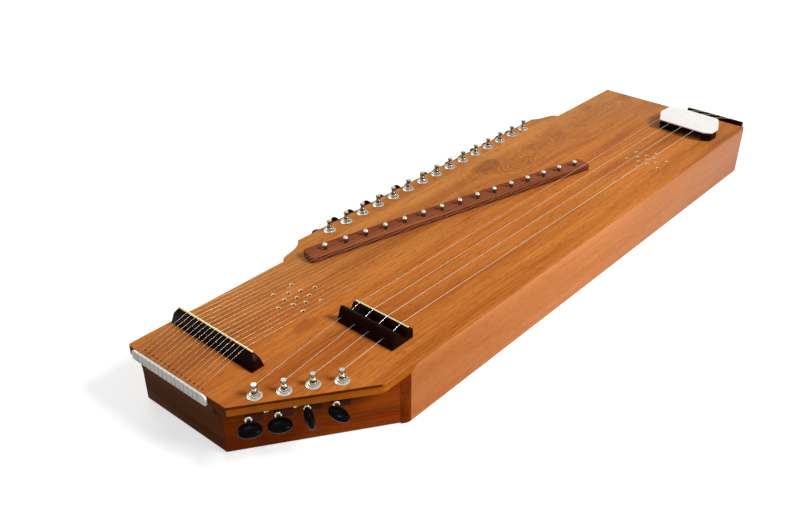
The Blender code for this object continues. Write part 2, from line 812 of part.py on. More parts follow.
def peg_template(radius, length, sides=6):
    """A small peg along Z, slightly tapered, its root at the origin."""
    bm = bmesh.new()
    bmesh.ops.create_cone(
        bm, cap_ends=True, segments=sides, radius1=radius, radius2=radius * 0.8,
        depth=length, matrix=Matrix.Translation((0, 0, length / 2)),
    )
    return mesh_from(bm, "peg")


def guide_spot(strip_y, bridge_y):
    """A guide pin stands beside its string, on the front side of it."""
    x = LEFT_X + GUIDE_SETBACK
    edge = edge_x(strip_y)
    share = (x - edge) / (BRIDGE_X - edge)
    y = strip_y + (bridge_y - strip_y) * share
    return x, y - GUIDE_D / 2 - STRING_OFF


def hitch_pins():
    """Short pins out of the cove, under the plank, that the melody strings start from."""
    bm = bmesh.new()
    hitch_z = DEPTH - HITCH_DROP
    face_left = Matrix.Rotation(-math.pi / 2, 4, "Y")
    for strip_y, _ in string_lines():
        root_x = cove_x(strip_y, hitch_z - HITCH_D / 2) + SUNK
        tip_x = edge_x(strip_y) - HITCH_OUT
        pin = peg_template(HITCH_D / 2, root_x - tip_x)
        stamp(bm, pin, Matrix.Translation((root_x, strip_y, hitch_z)) @ face_left)
    return bm


# Bridges
def slab_ring(centre_x, centre_y, width, length, height):
    return [
        (centre_x - width / 2, centre_y - length / 2, height),
        (centre_x + width / 2, centre_y - length / 2, height),
        (centre_x + width / 2, centre_y + length / 2, height),
        (centre_x - width / 2, centre_y + length / 2, height),
    ]


def make_melody_bridge(mat):
    full, slope, chamfer = BRIDGE_LENGTH, BRIDGE_END_SLOPE * 2, BRIDGE_END_CHAMFER * 2
    rings = [
        slab_ring(BRIDGE_X, BRIDGE_Y, BRIDGE_FOOT_W, full, ON_TOP),
        slab_ring(BRIDGE_X, BRIDGE_Y, BRIDGE_SHOULDER_W, full - slope,
                  DEPTH + BRIDGE_SHOULDER_Z),
        slab_ring(BRIDGE_X, BRIDGE_Y, BRIDGE_TOP_W, full - chamfer, DEPTH + BRIDGE_TOP_Z),
    ]
    place("melody_bridge", mesh_from(loft(rings), "melody_bridge"), mat)


def nut_profile():
    """The drone nut from the side: a tall front ridge, a channel and a low rear ridge."""
    rear = NUT_X
    front = NUT_X - NUT_DEPTH
    channel_end = rear - NUT_REAR_W
    channel_start = channel_end - NUT_CHANNEL_W
    ridge = NUT_RIDGE_Z
    face, crest, brow = NUT_CREST_IN
    low = GAP
    return [
        (front, low), (rear, low), (rear, NUT_REAR_Z - NUT_EDGE), (rear - NUT_EDGE, NUT_REAR_Z),
        (channel_end + NUT_SLOPE, NUT_REAR_Z), (channel_end - NUT_SLOPE, NUT_CHANNEL_Z),
        (channel_start - NUT_SLOPE, NUT_CHANNEL_Z),
        (channel_start - face, ridge - NUT_CREST_DROP), (channel_start - crest, ridge),
        (channel_start - brow, ridge - NUT_CREST_DROP), (front + NUT_FOOT[0], NUT_FOOT[1]),
    ]


def drone_lines():
    """Where each drone string crosses the nut, the flat bridge and the tailpiece."""
    return [
        (FRONT_Y + NUT_FIRST_IN - NUT_PITCH * k, FRONT_Y + JAWARI_FIRST_IN - JAWARI_PITCH * k,
         FRONT_Y + TAIL_FIRST_IN - TAIL_PITCH * k)
        for k in range(FRONT_TUNERS)
    ]


def nut_rod():
    """Middle of the rod on the drone nut's rear ridge: x and height above the top."""
    return NUT_X - NUT_ROD_IN, NUT_REAR_Z + GAP + ROD_D / 2


def make_drone_nut(mat):
    low_y, high_y = NUT_MIDDLE_Y - NUT_LENGTH / 2, NUT_MIDDLE_Y + NUT_LENGTH / 2
    outline = [(x, DEPTH + z) for x, z in nut_profile()]
    nut = place("drone_nut", mesh_from(prism(outline, low_y, high_y, along="Y"), "drone_nut"),
                mat)
    bm = bmesh.new()
    back = NUT_X - NUT_REAR_W - NUT_CHANNEL_W / 2
    front = NUT_X - NUT_DEPTH - OVERCUT
    lie = Matrix.Rotation(math.pi / 2, 4, "Y")
    radius = NUT_HOLE_D / 2
    bore = mesh_from(pegs([(0, 0)], radius, front, back, 6), "bore")
    for y in nut_holes():
        stamp(bm, bore, Matrix.Translation((0, y, DEPTH + NUT_HOLE_Z)) @ lie)
    cut(nut, bm, "nut_bores")


def nut_holes():
    """Where the drone strings pass through the front ridge, seen from above."""
    return [nut_y + NUT_HOLE_SHIFT for nut_y, _, _ in drone_lines()]


def rod_bm(length, x, middle_y, z):
    """A brass rod lying across the strings."""
    bm = turned([(0, 0), (ROD_D / 2, 0), (ROD_D / 2, length), (0, length)], 10)
    lie = Matrix.Rotation(math.pi / 2, 4, "X")
    bmesh.ops.transform(
        bm, verts=bm.verts, matrix=Matrix.Translation((x, middle_y + length / 2, z)) @ lie
    )
    return bm


def stud_spots():
    first = Vector((LEFT_X + STUD_FIRST_IN[0], BACK_Y - STUD_FIRST_IN[1]))
    return [first + Vector(STUD_STEP) * k for k in range(MELODY_COUNT)]


def make_pin_bar(mat):
    """The slanted bar that carries the studs, with a groove along its front face."""
    spots = stud_spots()
    along = (spots[-1] - spots[0]).normalized()
    back = Vector((-along.y, along.x))
    start = spots[0] - along * BAR_LEFT_OVER
    end = spots[-1] + along * BAR_RIGHT_OVER
    outline = round_corners(
        [start - back * BAR_FRONT, end - back * BAR_FRONT, end + back * BAR_BACK,
         start + back * BAR_BACK],
        BAR_ROUNDS, 2,
    )
    bm = prism(outline, ON_TOP, DEPTH + BAR_H)
    bar = place("pin_bar", mesh_from(bm, "pin_bar"), mat)
    middle = DEPTH + BAR_H * BAR_GROOVE_AT
    face = -BAR_FRONT
    groove = [(face - BAR_GROOVE, middle - BAR_GROOVE_H), (face + BAR_GROOVE, middle),
              (face - BAR_GROOVE, middle + BAR_GROOVE_H)]
    length = (end - start).length
    rings = []
    for s in (-OVERCUT, length + OVERCUT):
        rings.append([(*(start + along * s + back * t), z) for t, z in groove])
    cut(bar, loft(rings), "bar_groove")
    cut(bar, stud_group(), "bar_studs", "UNION")


def stud_waist():
    """Height of a stud's waist above the top."""
    return BAR_H + STUD_H * STUD_WAIST_AT


def stud_group():
    """Round-headed studs with a waist for the string, their feet sunk in the bar."""
    base, waist, ball = STUD_BASE_D / 2, STUD_WAIST_D / 2, STUD_BALL_D / 2
    wide, high = STUD_SHOULDER
    profile = [
        (0, -SUNK), (base, -SUNK), (base, STUD_H * STUD_BASE_AT),
        (waist, STUD_H * STUD_WAIST_AT), (ball, STUD_H * STUD_BALL_AT),
        (ball * wide, STUD_H * high), (ball * STUD_CROWN, STUD_H), (0, STUD_H),
    ]
    stud = mesh_from(turned(profile, 6), "stud")
    bm = bmesh.new()
    for spot in stud_spots():
        stamp(bm, stud, Matrix.Translation((spot.x, spot.y, DEPTH + BAR_H)))
    return bm


def jawari_outline(inset):
    """The flat bridge from above: a rectangle with its corners cut unevenly."""
    half_w, half_l = JAWARI_W / 2, JAWARI_LENGTH / 2
    back_left, back_right, front_right, front_middle, front_left = JAWARI_CUTS
    points = [Vector(point) for point in (
        (-half_w, half_l - back_left[1]), (-half_w + back_left[0], half_l),
        (half_w - back_right[0], half_l), (half_w, half_l - back_right[1]),
        (half_w, -half_l + front_right[1]),
        (half_w - front_right[0], -half_l + front_middle[1]),
        (half_w - front_middle[0], -half_l), (-half_w + front_left[0], -half_l),
        (-half_w, -half_l + front_left[1]),
    )]
    inner = []
    count = len(points)
    for k, point in enumerate(points):
        before = line_offset(points[k - 1], point, -inset)
        after = line_offset(point, points[(k + 1) % count], -inset)
        inner.append(meet(before, after))
    turn = Matrix.Rotation(math.radians(JAWARI_TURN), 2)
    return [JAWARI_CENTRE + turn @ point for point in inner]


def jawari_x(y, share):
    """Where a string crosses the flat bridge: its tail edge at share 1, its crown at 0."""
    lean = -math.tan(math.radians(JAWARI_TURN)) * (y - JAWARI_CENTRE.y)
    return JAWARI_CENTRE.x + share * (JAWARI_W / 2 + lean)


def make_jawari(mat_base, mat_plate):
    """A white plate with a slight crown, on a dark table with two feet and an arch."""
    low = DEPTH + JAWARI_Z - JAWARI_PLATE_T
    top = DEPTH + JAWARI_Z
    bm = prism(jawari_outline(0), low, top)
    centre_x, centre_y = JAWARI_CENTRE
    for share in JAWARI_CREASES:
        bmesh.ops.bisect_plane(
            bm, geom=bm.verts[:] + bm.edges[:] + bm.faces[:],
            plane_co=(centre_x + JAWARI_W * share, 0, 0), plane_no=(1, 0, 0),
        )
    for vert in bm.verts:
        if vert.co.z > (low + top) / 2:
            share = (vert.co.x - centre_x) / (JAWARI_W / 2)
            vert.co.z -= JAWARI_CROWN * share * share
    place("jawari_plate", mesh_from(bm, "jawari_plate"), mat_plate)

    table_top = low - GAP
    table_low = table_top - JAWARI_BASE_T
    base = place(
        "jawari_base",
        mesh_from(prism(jawari_outline(JAWARI_INSET), ON_TOP, table_top), "jawari_base"),
        mat_base,
    )
    back_y, front_y = centre_y + JAWARI_ARCH_BACK, centre_y + JAWARI_ARCH_FRONT
    arch = round_corners(
        [(front_y, DEPTH - OVERCUT), (back_y, DEPTH - OVERCUT), (back_y, table_low),
         (front_y, table_low)],
        [0, 0, JAWARI_ARCH_ROUND, JAWARI_ARCH_ROUND], 3,
    )
    reach = JAWARI_W
    cut(base, prism(arch, centre_x - reach, centre_x + reach, along="X"), "jawari_arch")


def make_tailpiece(mat):
    """A dark block on the end face, rounded where the drone strings go over it."""
    outline = round_corners(
        [(RIGHT_X + GAP, DEPTH - TAIL_H), (RIGHT_X + GAP + TAIL_T, DEPTH - TAIL_H),
         (RIGHT_X + GAP + TAIL_T, DEPTH + TAIL_RISE), (RIGHT_X + GAP, DEPTH + TAIL_RISE)],
        [0, TAIL_FOOT_ROUND, TAIL_ROUND, TAIL_NEAR_ROUND], 3,
    )
    front_y = FRONT_Y + TAIL_FRONT_IN
    bm = prism(outline, front_y, front_y + TAIL_L, along="Y")
    tailpiece = place("tailpiece", mesh_from(bm, "tailpiece"), mat)
    pins = bmesh.new()
    pin = peg_template(TAIL_PIN_D / 2, TAIL_PIN_OUT + SUNK)
    face_right = Matrix.Rotation(math.pi / 2, 4, "Y")
    x = RIGHT_X + GAP + TAIL_T - SUNK
    for _, _, tail_y in drone_lines():
        y = tail_y - TAIL_PIN_D / 2 - STRING_OFF
        stamp(pins, pin, Matrix.Translation((x, y, DEPTH - TAIL_PIN_DROP)) @ face_right)
    cut(tailpiece, pins, "tail_pins", "UNION")


# Strings
def wrap(centre, radius, start, turn, low, high, steps):
    """Points of an arc round an upright post, from an angle, rising from low to high."""
    points = []
    for step in range(steps + 1):
        share = step / steps
        angle = start + turn * share
        points.append((centre.x + radius * math.cos(angle),
                       centre.y + radius * math.sin(angle), low + (high - low) * share))
    return points


def stud_ring():
    return STUD_WAIST_D / 2 + STRING_OFF


def post_ring():
    return POST_WAIST_D / 2 + STRING_OFF


def melody_route(index, strip_y, bridge_y):
    """From the hitch pin, over strip and bridge, round the stud, to the wing tuner."""
    _, wing = tuner_places()
    stud = stud_spots()[index]
    post = wing[index][0]
    outside = edge_x(strip_y) - GAP - STRIP_T - STRING_OFF
    hitch_z = DEPTH - HITCH_DROP
    strip_top = DEPTH + STRIP_RISE + STRING_OFF
    rod_z = DEPTH + BRIDGE_TOP_Z + GAP + ROD_D + STRING_R - STRING_BITE
    side = HITCH_D / 2 + STRING_OFF
    points = [
        (edge_x(strip_y) - HITCH_OUT + HITCH_LOOP_IN, strip_y + side, hitch_z),
        (outside, strip_y + side, DEPTH + STRIP_RISE - STRIP_H - STRIP_CLEAR),
        (outside, strip_y, strip_top - STRING_OFF),
        (outside + STRING_OFF, strip_y, strip_top),
    ]
    near = Vector((BRIDGE_X - ROD_TOUCH, bridge_y))
    points += [(near.x, near.y, rod_z), (near.x + ROD_TOUCH * 2, near.y, rod_z)]
    inward = stud - near
    first_angle = math.atan2(inward.y, inward.x) - math.asin(stud_ring() / inward.length)
    outward = post - stud
    lead = math.asin((stud_ring() - post_ring()) / outward.length)
    second_angle = math.atan2(outward.y, outward.x) + lead
    waist = DEPTH + stud_waist()
    low = DEPTH + POST_WAIST_Z
    points += wrap(stud, stud_ring(), first_angle - math.pi / 2,
                   second_angle - first_angle, waist, waist, 2)
    points += wrap(post, post_ring(), second_angle - math.pi / 2, WRAP_TURN, low, low, 4)
    return points


def drone_route(index, nut_y, jawari_y, tail_y):
    """From the tail pin, over tailpiece, flat bridge and nut rod, to the front tuner."""
    front, _ = tuner_places()
    post = front[index][0]
    round_x = RIGHT_X + GAP + TAIL_T - TAIL_ROUND
    round_z = DEPTH + TAIL_RISE - TAIL_ROUND
    reach = TAIL_ROUND + STRING_OFF
    rod_x, rise = nut_rod()
    rod_z = DEPTH + rise + ROD_D / 2 + STRING_R - STRING_BITE
    points = [(round_x + reach, tail_y, DEPTH - TAIL_PIN_DROP - TAIL_PIN_D / 2)]
    for step in range(5):
        angle = math.radians(TAIL_WRAP) * step / 4
        points.append((round_x + reach * math.cos(angle), tail_y,
                       round_z + reach * math.sin(angle)))
    for share in (1.0, 0.5, 0.0):
        x = jawari_x(jawari_y, share)
        points.append((x, jawari_y,
                       DEPTH + JAWARI_Z + STRING_OFF - JAWARI_CROWN * share * share))
    hole_y = nut_holes()[index]
    enter_x = NUT_X - NUT_REAR_W - NUT_CHANNEL_W - NUT_ENTER
    leave_x = NUT_X - NUT_DEPTH - NUT_LEAVE
    points += [
        (rod_x + ROD_TOUCH, nut_y, rod_z), (rod_x - ROD_TOUCH, nut_y, rod_z),
        (enter_x, hole_y, DEPTH + NUT_HOLE_Z), (leave_x, hole_y, DEPTH + NUT_HOLE_Z),
    ]
    start = Vector((leave_x, hole_y))
    inward = post - start
    angle = math.atan2(inward.y, inward.x) - math.asin(post_ring() / inward.length)
    low = DEPTH + POST_WAIST_Z
    points += wrap(post, post_ring(), angle - math.pi / 2, WRAP_TURN, low, low, 4)
    return points


def string_group(name, routes, rod, mat):
    """A row of strings, held side by side by the rod that they rest on."""
    curve = bpy.data.curves.new(name, "CURVE")
    curve.dimensions = "3D"
    curve.bevel_depth = STRING_R
    curve.bevel_resolution = 0
    curve.use_fill_caps = True
    for route in routes:
        spline = curve.splines.new("POLY")
        spline.points.add(len(route) - 1)
        for point, where in zip(spline.points, route):
            point.co = (*where, 1.0)
    guide = bpy.data.objects.new(name + "_route", curve)
    bpy.context.scene.collection.objects.link(guide)
    row = place(name, settled(guide, []), mat)
    cut(row, rod, name + "_rod", "UNION")


def make_strings(mat):
    melody_rod = rod_bm(BRIDGE_LENGTH - ROD_SHORTER, BRIDGE_X, BRIDGE_Y,
                        DEPTH + BRIDGE_TOP_Z + GAP + ROD_D / 2)
    routes = [melody_route(k, *ys) for k, ys in enumerate(string_lines())]
    string_group("melody_strings", routes, melody_rod, mat)
    x, rise = nut_rod()
    drone_rod = rod_bm(NUT_LENGTH - NUT_ROD_SHORTER, x, NUT_MIDDLE_Y, DEPTH + rise)
    routes = [drone_route(k, *ys) for k, ys in enumerate(drone_lines())]
    string_group("drone_strings", routes, drone_rod, mat)


# Tuners
def tuner_shapes(rise):
    """The shapes that make and hollow a tuner's body.

    X points outwards, Z up, and the origin is on the post's axis at the top face. The
    rise is how far the housing reaches into the plank above it.
    """
    under = PLANK_UNDER - GAP - DEPTH
    wheel = WHEEL_D / 2 + RUNNING_GAP
    worm = KEY_D / 2 + RUNNING_GAP
    back = -(wheel + HOUSING_WALL)
    far = WORM_OFFSET + worm + HOUSING_WALL
    near = wheel + HOUSING_WALL
    outline = round_corners(
        [(back, -far), (HOUSING_FRONT, -far), (HOUSING_FRONT, near), (back, near)],
        HOUSING_ROUNDS, 1,
    )
    floor = under - KEY_DROP - WHEEL_H / 2 - RUNNING_GAP
    roof = under - HOUSING_ROOF
    ear = [
        (EAR_OUT - EAR_R, near - SUNK), (EAR_OUT, near - SUNK),
        (EAR_OUT + EAR_R, EAR_SIDE), (EAR_OUT + EAR_R * 0.5, EAR_SIDE + EAR_R * 0.85),
        (EAR_OUT - EAR_R * 0.5, EAR_SIDE + EAR_R * 0.85),
    ]
    flats = around(NUT_ACROSS_FLATS / 2, 6)
    washer, sleeve = WASHER_D / 2, SLEEVE_D / 2
    nut = [
        ring(sleeve, under - SUNK, 6), ring(sleeve, GAP, 6), ring(washer, GAP, 12),
        ring(washer, WASHER_T * 0.55, 12), ring(flats, WASHER_T, 6),
        ring(flats, WASHER_T + HEX_H, 6),
    ]
    lie = Matrix.Rotation(math.pi / 2, 4, "Y")
    bore = pegs([(0, 0)], around(worm, 6), -WORM_BACK - RUNNING_GAP,
                HOUSING_FRONT + OVERCUT, 6)
    bmesh.ops.transform(
        bore, verts=bore.verts,
        matrix=Matrix.Translation((0, -WORM_OFFSET, under - KEY_DROP)) @ lie,
    )
    shapes = {
        "housing": prism(outline, floor - HOUSING_FLOOR, under + rise + (GAP if rise else 0)),
        "ear": prism(ear, under - EAR_T, under + (GAP + rise / 2 if rise else -EAR_STEP)),
        "nut": loft(nut),
        "post_bore": pegs([(0, 0)], around(POST_D / 2 + RUNNING_GAP, 6), roof - SUNK,
                          WASHER_T + HEX_H + OVERCUT, 6),
        "wheel_room": pegs([(0, 0)], around(wheel, 8), floor, roof, 8),
        "worm_bore": bore,
    }
    return {name: mesh_from(bm, name) for name, bm in shapes.items()}


def body_mesh():
    """One tuner body by itself: nut, washer, sleeve and hollow housing in one piece."""
    shapes = tuner_shapes(0.0)
    body = place("body", shapes["housing"], None)
    helpers = []
    for name in ("ear", "nut", "post_bore", "wheel_room", "worm_bore"):
        bm = bmesh.new()
        bm.from_mesh(shapes[name])
        solid = name in ("ear", "nut")
        helpers.append(cut(body, bm, "body_" + name, "UNION" if solid else "DIFFERENCE"))
    return settled(body, helpers)


def post_mesh():
    """A string post with its cap and waist, and the wheel at its foot."""
    post, waist, cap = POST_D / 2, POST_WAIST_D / 2, POST_CAP_D / 2
    wheel = WHEEL_D / 2
    foot = KEY_Z - WHEEL_H / 2 - DEPTH
    head = foot + WHEEL_H
    cap_low = POST_RISE - POST_CAP_H
    profile = [
        (0, foot), (wheel, foot), (wheel, head), (post, head),
        (post, POST_WAIST_Z - POST_SHOULDER), (waist, POST_WAIST_Z),
        (cap, cap_low), (cap * 0.94, POST_RISE),
        (0, POST_RISE),
    ]
    return mesh_from(turned(profile, 6), "post")


def key_mesh():
    """Worm, shaft and collar in one piece, and the oval button on its end."""
    shaft = KEY_D / 2
    collar = COLLAR_D / 2
    face = HOUSING_FRONT + GAP
    end = face + COLLAR_T + SHAFT_SHOW
    profile = [
        (0, -WORM_BACK), (shaft, -WORM_BACK), (shaft, face), (collar, face),
        (collar, face + COLLAR_T), (SHAFT_D / 2, face + COLLAR_T),
        (SHAFT_D / 2, end + SUNK), (0, end + SUNK),
    ]
    shaft_bm = turned(profile, 6)
    grip = []
    for share, wide, thick in BUTTON_RINGS:
        grip.append([
            (thick * BUTTON_T / 2 * math.sin(2 * math.pi * k / 8),
             wide * BUTTON_W / 2 * math.cos(2 * math.pi * k / 8),
             end + BUTTON_L * share)
            for k in range(8)
        ])
    key = place("key", mesh_from(shaft_bm, "key"), None)
    return settled(key, [cut(key, loft(grip), "grip", "UNION")])


def make_tuners(mats):
    front, wing = tuner_places()
    body, post, key = body_mesh(), post_mesh(), key_mesh()
    for row, places in (("front", front), ("wing", wing)):
        for number, (spot, out, angle) in enumerate(places, 1):
            frame = tuner_frame(spot, out, DEPTH)
            if row == "front":
                place(f"tuner_body_{number}", body, mats["body"], frame)
            place(f"post_{row}_{number}", post, mats["post"], frame)
            place(f"key_{row}_{number}", key, mats["key"], key_frame(spot, out, angle))


def main():
    clear_scene()
    honey = (0.45, 0.19, 0.06)
    make_soundboard(material("honey_wood_top", honey, 0.35))
    make_planks(material("orange_wood_plank", (0.42, 0.17, 0.04), 0.38),
                material("orange_wood_wing", (0.42, 0.17, 0.04), 0.38))
    make_base(material("red_brown_base", (0.24, 0.08, 0.03), 0.45))
    make_walls({
        "left": material("dark_brown_left_wall", (0.20, 0.07, 0.03), 0.42),
        "slant": material("orange_brown_slant_wall", (0.36, 0.13, 0.04), 0.40),
        "front": material("pink_brown_front_wall", (0.38, 0.15, 0.08), 0.40),
        "back": material("pink_brown_back_wall", (0.38, 0.15, 0.08), 0.40),
        "tail": material("pink_brown_tail_wall", (0.38, 0.15, 0.08), 0.40),
    })
    make_edge_strip(material("white_strip", (0.85, 0.84, 0.8), 0.3))
    make_melody_bridge(material("black_wood_bridge", (0.012, 0.009, 0.008), 0.35))
    make_pin_bar(material("red_brown_bar", (0.36, 0.15, 0.09), 0.4))
    make_drone_nut(material("dark_wood_nut", (0.03, 0.015, 0.01), 0.35))
    make_jawari(material("black_wood_table", (0.015, 0.01, 0.008), 0.4),
                material("white_plate", (0.82, 0.8, 0.77), 0.3))
    make_tailpiece(material("black_wood_tailpiece", (0.015, 0.01, 0.008), 0.4))
    make_strings(material("steel_strings", (0.62, 0.6, 0.55), 0.25, 1.0))
    make_tuners({
        "body": material("nickel_tuner_bodies", (0.6, 0.58, 0.54), 0.22, 1.0),
        "post": material("nickel_posts", (0.62, 0.58, 0.5), 0.2, 1.0),
        "key": material("black_keys", (0.012, 0.012, 0.012), 0.2),
    })


main()
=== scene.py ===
"""Dresses the solid model of a swarmandal, a box zither played with the fingers.

Every visible piece is modelled again over its solid with rounded edges, turned metal and
wound strings, and gets its own finish: lacquered wood with its grain, blackwood, bone,
nickel plate, brass and steel. The light is a plain soft studio. All lengths are in metres.
"""
import json
import math

import bmesh
import bpy
from bpy.props import FloatProperty, FloatVectorProperty, PointerProperty
from mathutils import Matrix, Vector
from mathutils.geometry import interpolate_bezier


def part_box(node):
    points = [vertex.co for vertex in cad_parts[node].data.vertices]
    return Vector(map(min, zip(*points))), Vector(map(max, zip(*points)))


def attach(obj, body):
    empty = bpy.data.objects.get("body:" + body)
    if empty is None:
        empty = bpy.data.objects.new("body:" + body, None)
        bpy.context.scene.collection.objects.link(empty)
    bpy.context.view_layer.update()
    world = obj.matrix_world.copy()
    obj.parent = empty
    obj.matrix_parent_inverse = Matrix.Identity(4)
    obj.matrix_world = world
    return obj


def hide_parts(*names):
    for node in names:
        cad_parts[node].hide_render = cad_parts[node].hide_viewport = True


bl_info = {
    "name": "Swarmandal",
    "version": (1, 0, 0),
    "blender": (4, 5, 0),
    "location": "3D View > Sidebar > Swarmandal",
    "description": "Models the pieces of a swarmandal over its solid frame",
    "category": "Object",
}

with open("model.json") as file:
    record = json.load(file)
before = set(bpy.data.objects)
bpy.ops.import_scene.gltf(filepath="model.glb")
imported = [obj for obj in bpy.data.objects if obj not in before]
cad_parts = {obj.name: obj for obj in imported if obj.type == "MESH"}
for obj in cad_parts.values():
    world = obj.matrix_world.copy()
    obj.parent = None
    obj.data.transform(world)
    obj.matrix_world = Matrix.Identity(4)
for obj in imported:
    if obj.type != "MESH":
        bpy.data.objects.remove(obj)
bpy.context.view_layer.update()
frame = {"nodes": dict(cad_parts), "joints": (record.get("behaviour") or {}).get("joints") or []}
JOINTS = {joint["child"]: joint for joint in frame["joints"]}
BODY = "sound_box"
at = Matrix.Translation

# Fits: under pieces that lie on others, of sunk ends, of turning parts, and rounding errors
SEAT = 0.0003
SUNK = 0.0008
RUNNING = 0.0003
TINY = 1e-5

# Box, from its solids
BOARD_LOW, BOARD_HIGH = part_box("soundboard")
TOP_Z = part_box("melody_bridge")[0].z - SEAT
LEFT_X, RIGHT_X = BOARD_LOW.x, BOARD_HIGH.x
FRONT_Y = BOARD_LOW.y
WING_Y = BOARD_HIGH.y
BACK_Y = -FRONT_Y
TOP_T, PLANK_T = 0.003, 0.0072
BOARD_UNDER = TOP_Z - TOP_T
PLANK_LOW, PLANK_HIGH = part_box("head_plank")
PLANK_UNDER, PLANK_TOP = PLANK_LOW.z, PLANK_HIGH.z
CORNER_A = Vector((LEFT_X, BACK_Y))
CORNER_B = Vector((LEFT_X + 0.0027, BACK_Y - 0.146))
CORNER_C = Vector((LEFT_X + 0.1219, FRONT_Y))
SLANT = (CORNER_C - CORNER_B).normalized()
SLANT_ANGLE = math.atan2(SLANT.y, SLANT.x)
WING_OUT = WING_Y - BACK_Y
WING_LEFT = (-0.2485, 0.0415, ((0.05, 0.58), (0.64, 0.14)))
WING_RIGHT = (0.3113, -0.038, ((0.05, 0.58), (0.64, 0.40)))
WALL_T = 0.006
BACK_SETBACK = 0.005
SCARF_X = -0.287
SCARF_RUN = 0.010
PLANK_END_X = 0.314
TOP_ROUNDS = ((CORNER_A, 0.004), (CORNER_B, 0.003), (CORNER_C, 0.011),
              ((RIGHT_X, BACK_Y), 0.001), ((RIGHT_X, FRONT_Y), 0.001))
INSIDE_X = RIGHT_X - WALL_T - SEAT
# Each brace from where to where along X, and its height; the last is the tail block
BRACES = ((-0.210, -0.200, 0.012), (-0.005, 0.005, 0.012), (0.200, 0.210, 0.012),
          (INSIDE_X - 0.020, INSIDE_X, 0.040))

# Rounding of the pieces' edges
ROUND = {"brace": 0.0008, "head_plank": 0.0012, "wing_plank": 0.001, "edge_strip": 0.0005,
         "melody_bridge": 0.0008, "drone_nut": 0.0006, "pin_bar": 0.0009, "plate": 0.0005,
         "plate_corner": 0.0025, "table": 0.0006, "tailpiece": 0.0006, "case": 0.0014,
         "bushing": 0.0005, "ear": 0.0004}

# Strings; each loop has a first angle and a turn, and the windings' pitch is in wire radii
MELODY_COUNT, DRONE_COUNT = 15, 4
WIRE_GAP, LOOP_CLIMB, HITCH_LOOP, TAIL_LOOP = 0.00005, 0.0004, (-1.9, -4.4), (0.0, -5.2)
WINDINGS, WINDING_PITCH, WINDING_STEPS = 4.5, 2.1, 14
STRIP_FIRST_Y, STRIP_PITCH = 0.0945, 0.00633
BRIDGE_FIRST_Y, BRIDGE_PITCH = 0.0912, 0.00626
NUT_FIRST_Y, NUT_PITCH = -0.0208, 0.01865
JAWARI_FIRST_Y, JAWARI_PITCH = -0.021, 0.019
TAIL_FIRST_Y, TAIL_PITCH = -0.0335, 0.0195
STRIP_T, STRIP_H, STRIP_RISE = 0.0027, 0.011, 0.0004
NOTCH_R, NOTCH_DEPTH, NOTCH_APART, GROOVE_R = 0.0007, 0.0010, 0.0009, 0.0005
HITCH_D, HITCH_DROP, HITCH_LOOP_IN = 0.002, 0.0124, 0.0005
GUIDE_D, GUIDE_H, GUIDE_SETBACK = 0.0012, 0.001, 0.0058
BRIDGE_X, BRIDGE_TOP_Z = -0.398, 0.0166
ROD_D, ROD_SPAN = 0.0022, 0.0006
NUT_X, NUT_DEPTH, NUT_REAR_Z = -0.2622, 0.0311, 0.0124
NUT_HOLE_Z, NUT_HOLE_SHIFT = 0.008, 0.0025
NUT_CHANNEL_START, NUT_ROD_X = NUT_X - 0.0178, NUT_X - 0.0048
JAWARI_X, JAWARI_Y, JAWARI_W, JAWARI_Z = 0.3995, -0.0555, 0.0605, 0.0142
JAWARI_TURN = math.radians(-2.6)
JAWARI_CROWN = 0.0006
TAIL_RISE, TAIL_ROUND, TAIL_PIN_DROP, TAIL_PIN_D = 0.0055, 0.004, 0.010, 0.0024
TAIL_FACE_X = RIGHT_X + SEAT + 0.0075

# Bar and studs
BAR_H, BAR_FRONT, BAR_BACK = 0.0086, 0.0088, 0.0138
BAR_LEFT_OVER, BAR_RIGHT_OVER = 0.0224, 0.021
BAR_ROUNDS = (0.0045, 0.003, 0.005, 0.0055)
BAR_COVES = ((0.0023, 0.0026), (0.0056, 0.0010))
STUD_FIRST = Vector((-0.2095, 0.089))
STUD_STEP = Vector((0.0266, -0.00679))
STUD_H, STUD_FOOT_D = 0.0078, 0.0048
STUD_WAIST_D, STUD_WAIST_Z = 0.0036, 0.0028
BAR_ANGLE = math.atan2(STUD_STEP.y, STUD_STEP.x)

# Sound holes: each ring's radius, first angle and count
HOLE_CENTRES = ((-0.2898, 0.0504), (0.2607, -0.0626))
HOLE_RINGS = ((0.0, 0, 1), (0.0135, 30, 6), (0.0264, 0, 6))
DRILLED, SINK_SLOPE = 0.006, 0.7

# Tuners, about the post's axis at the top face, X outwards
CASE_UNDER = PLANK_UNDER - SEAT - TOP_Z
WORM_OFFSET = 0.0083
POST_D, POST_WAIST_D, POST_WAIST_Z = 0.006, 0.0044, 0.0094
POST_RISE, POST_CAP_D, POST_CAP_H = 0.0138, 0.0064, 0.0024
WHEEL_D, WHEEL_H = 0.0112, 0.0052
KEY_D, KEY_DROP = 0.0046, 0.0067
CASE_FRONT, CASE_BACK, CASE_FAR, CASE_NEAR, CASE_LOW = 0.0085, -0.0068, -0.0118, 0.0068, -0.0238
SLEEVE_R, HEX_FLAT, HEX_LOW, HEX_H = 0.0043, 0.0098, 0.0010, 0.0022
EAR_X, EAR_HALF, EAR_CUT = 0.0074, 0.0030, 0.0015
EAR_Y, EAR_END, EAR_T = 0.0088, 0.0114, 0.0015
COLLAR_T, NECK_L = 0.0025, 0.0038
BUTTON_L, BUTTON_W, BUTTON_T = 0.019, 0.024, 0.0095
# How much thinner and narrower a button is at its neck, and how round it is along its length
BUTTON_THIN, BUTTON_NARROW, BUTTON_ROUND = 0.30, 0.18, 0.35

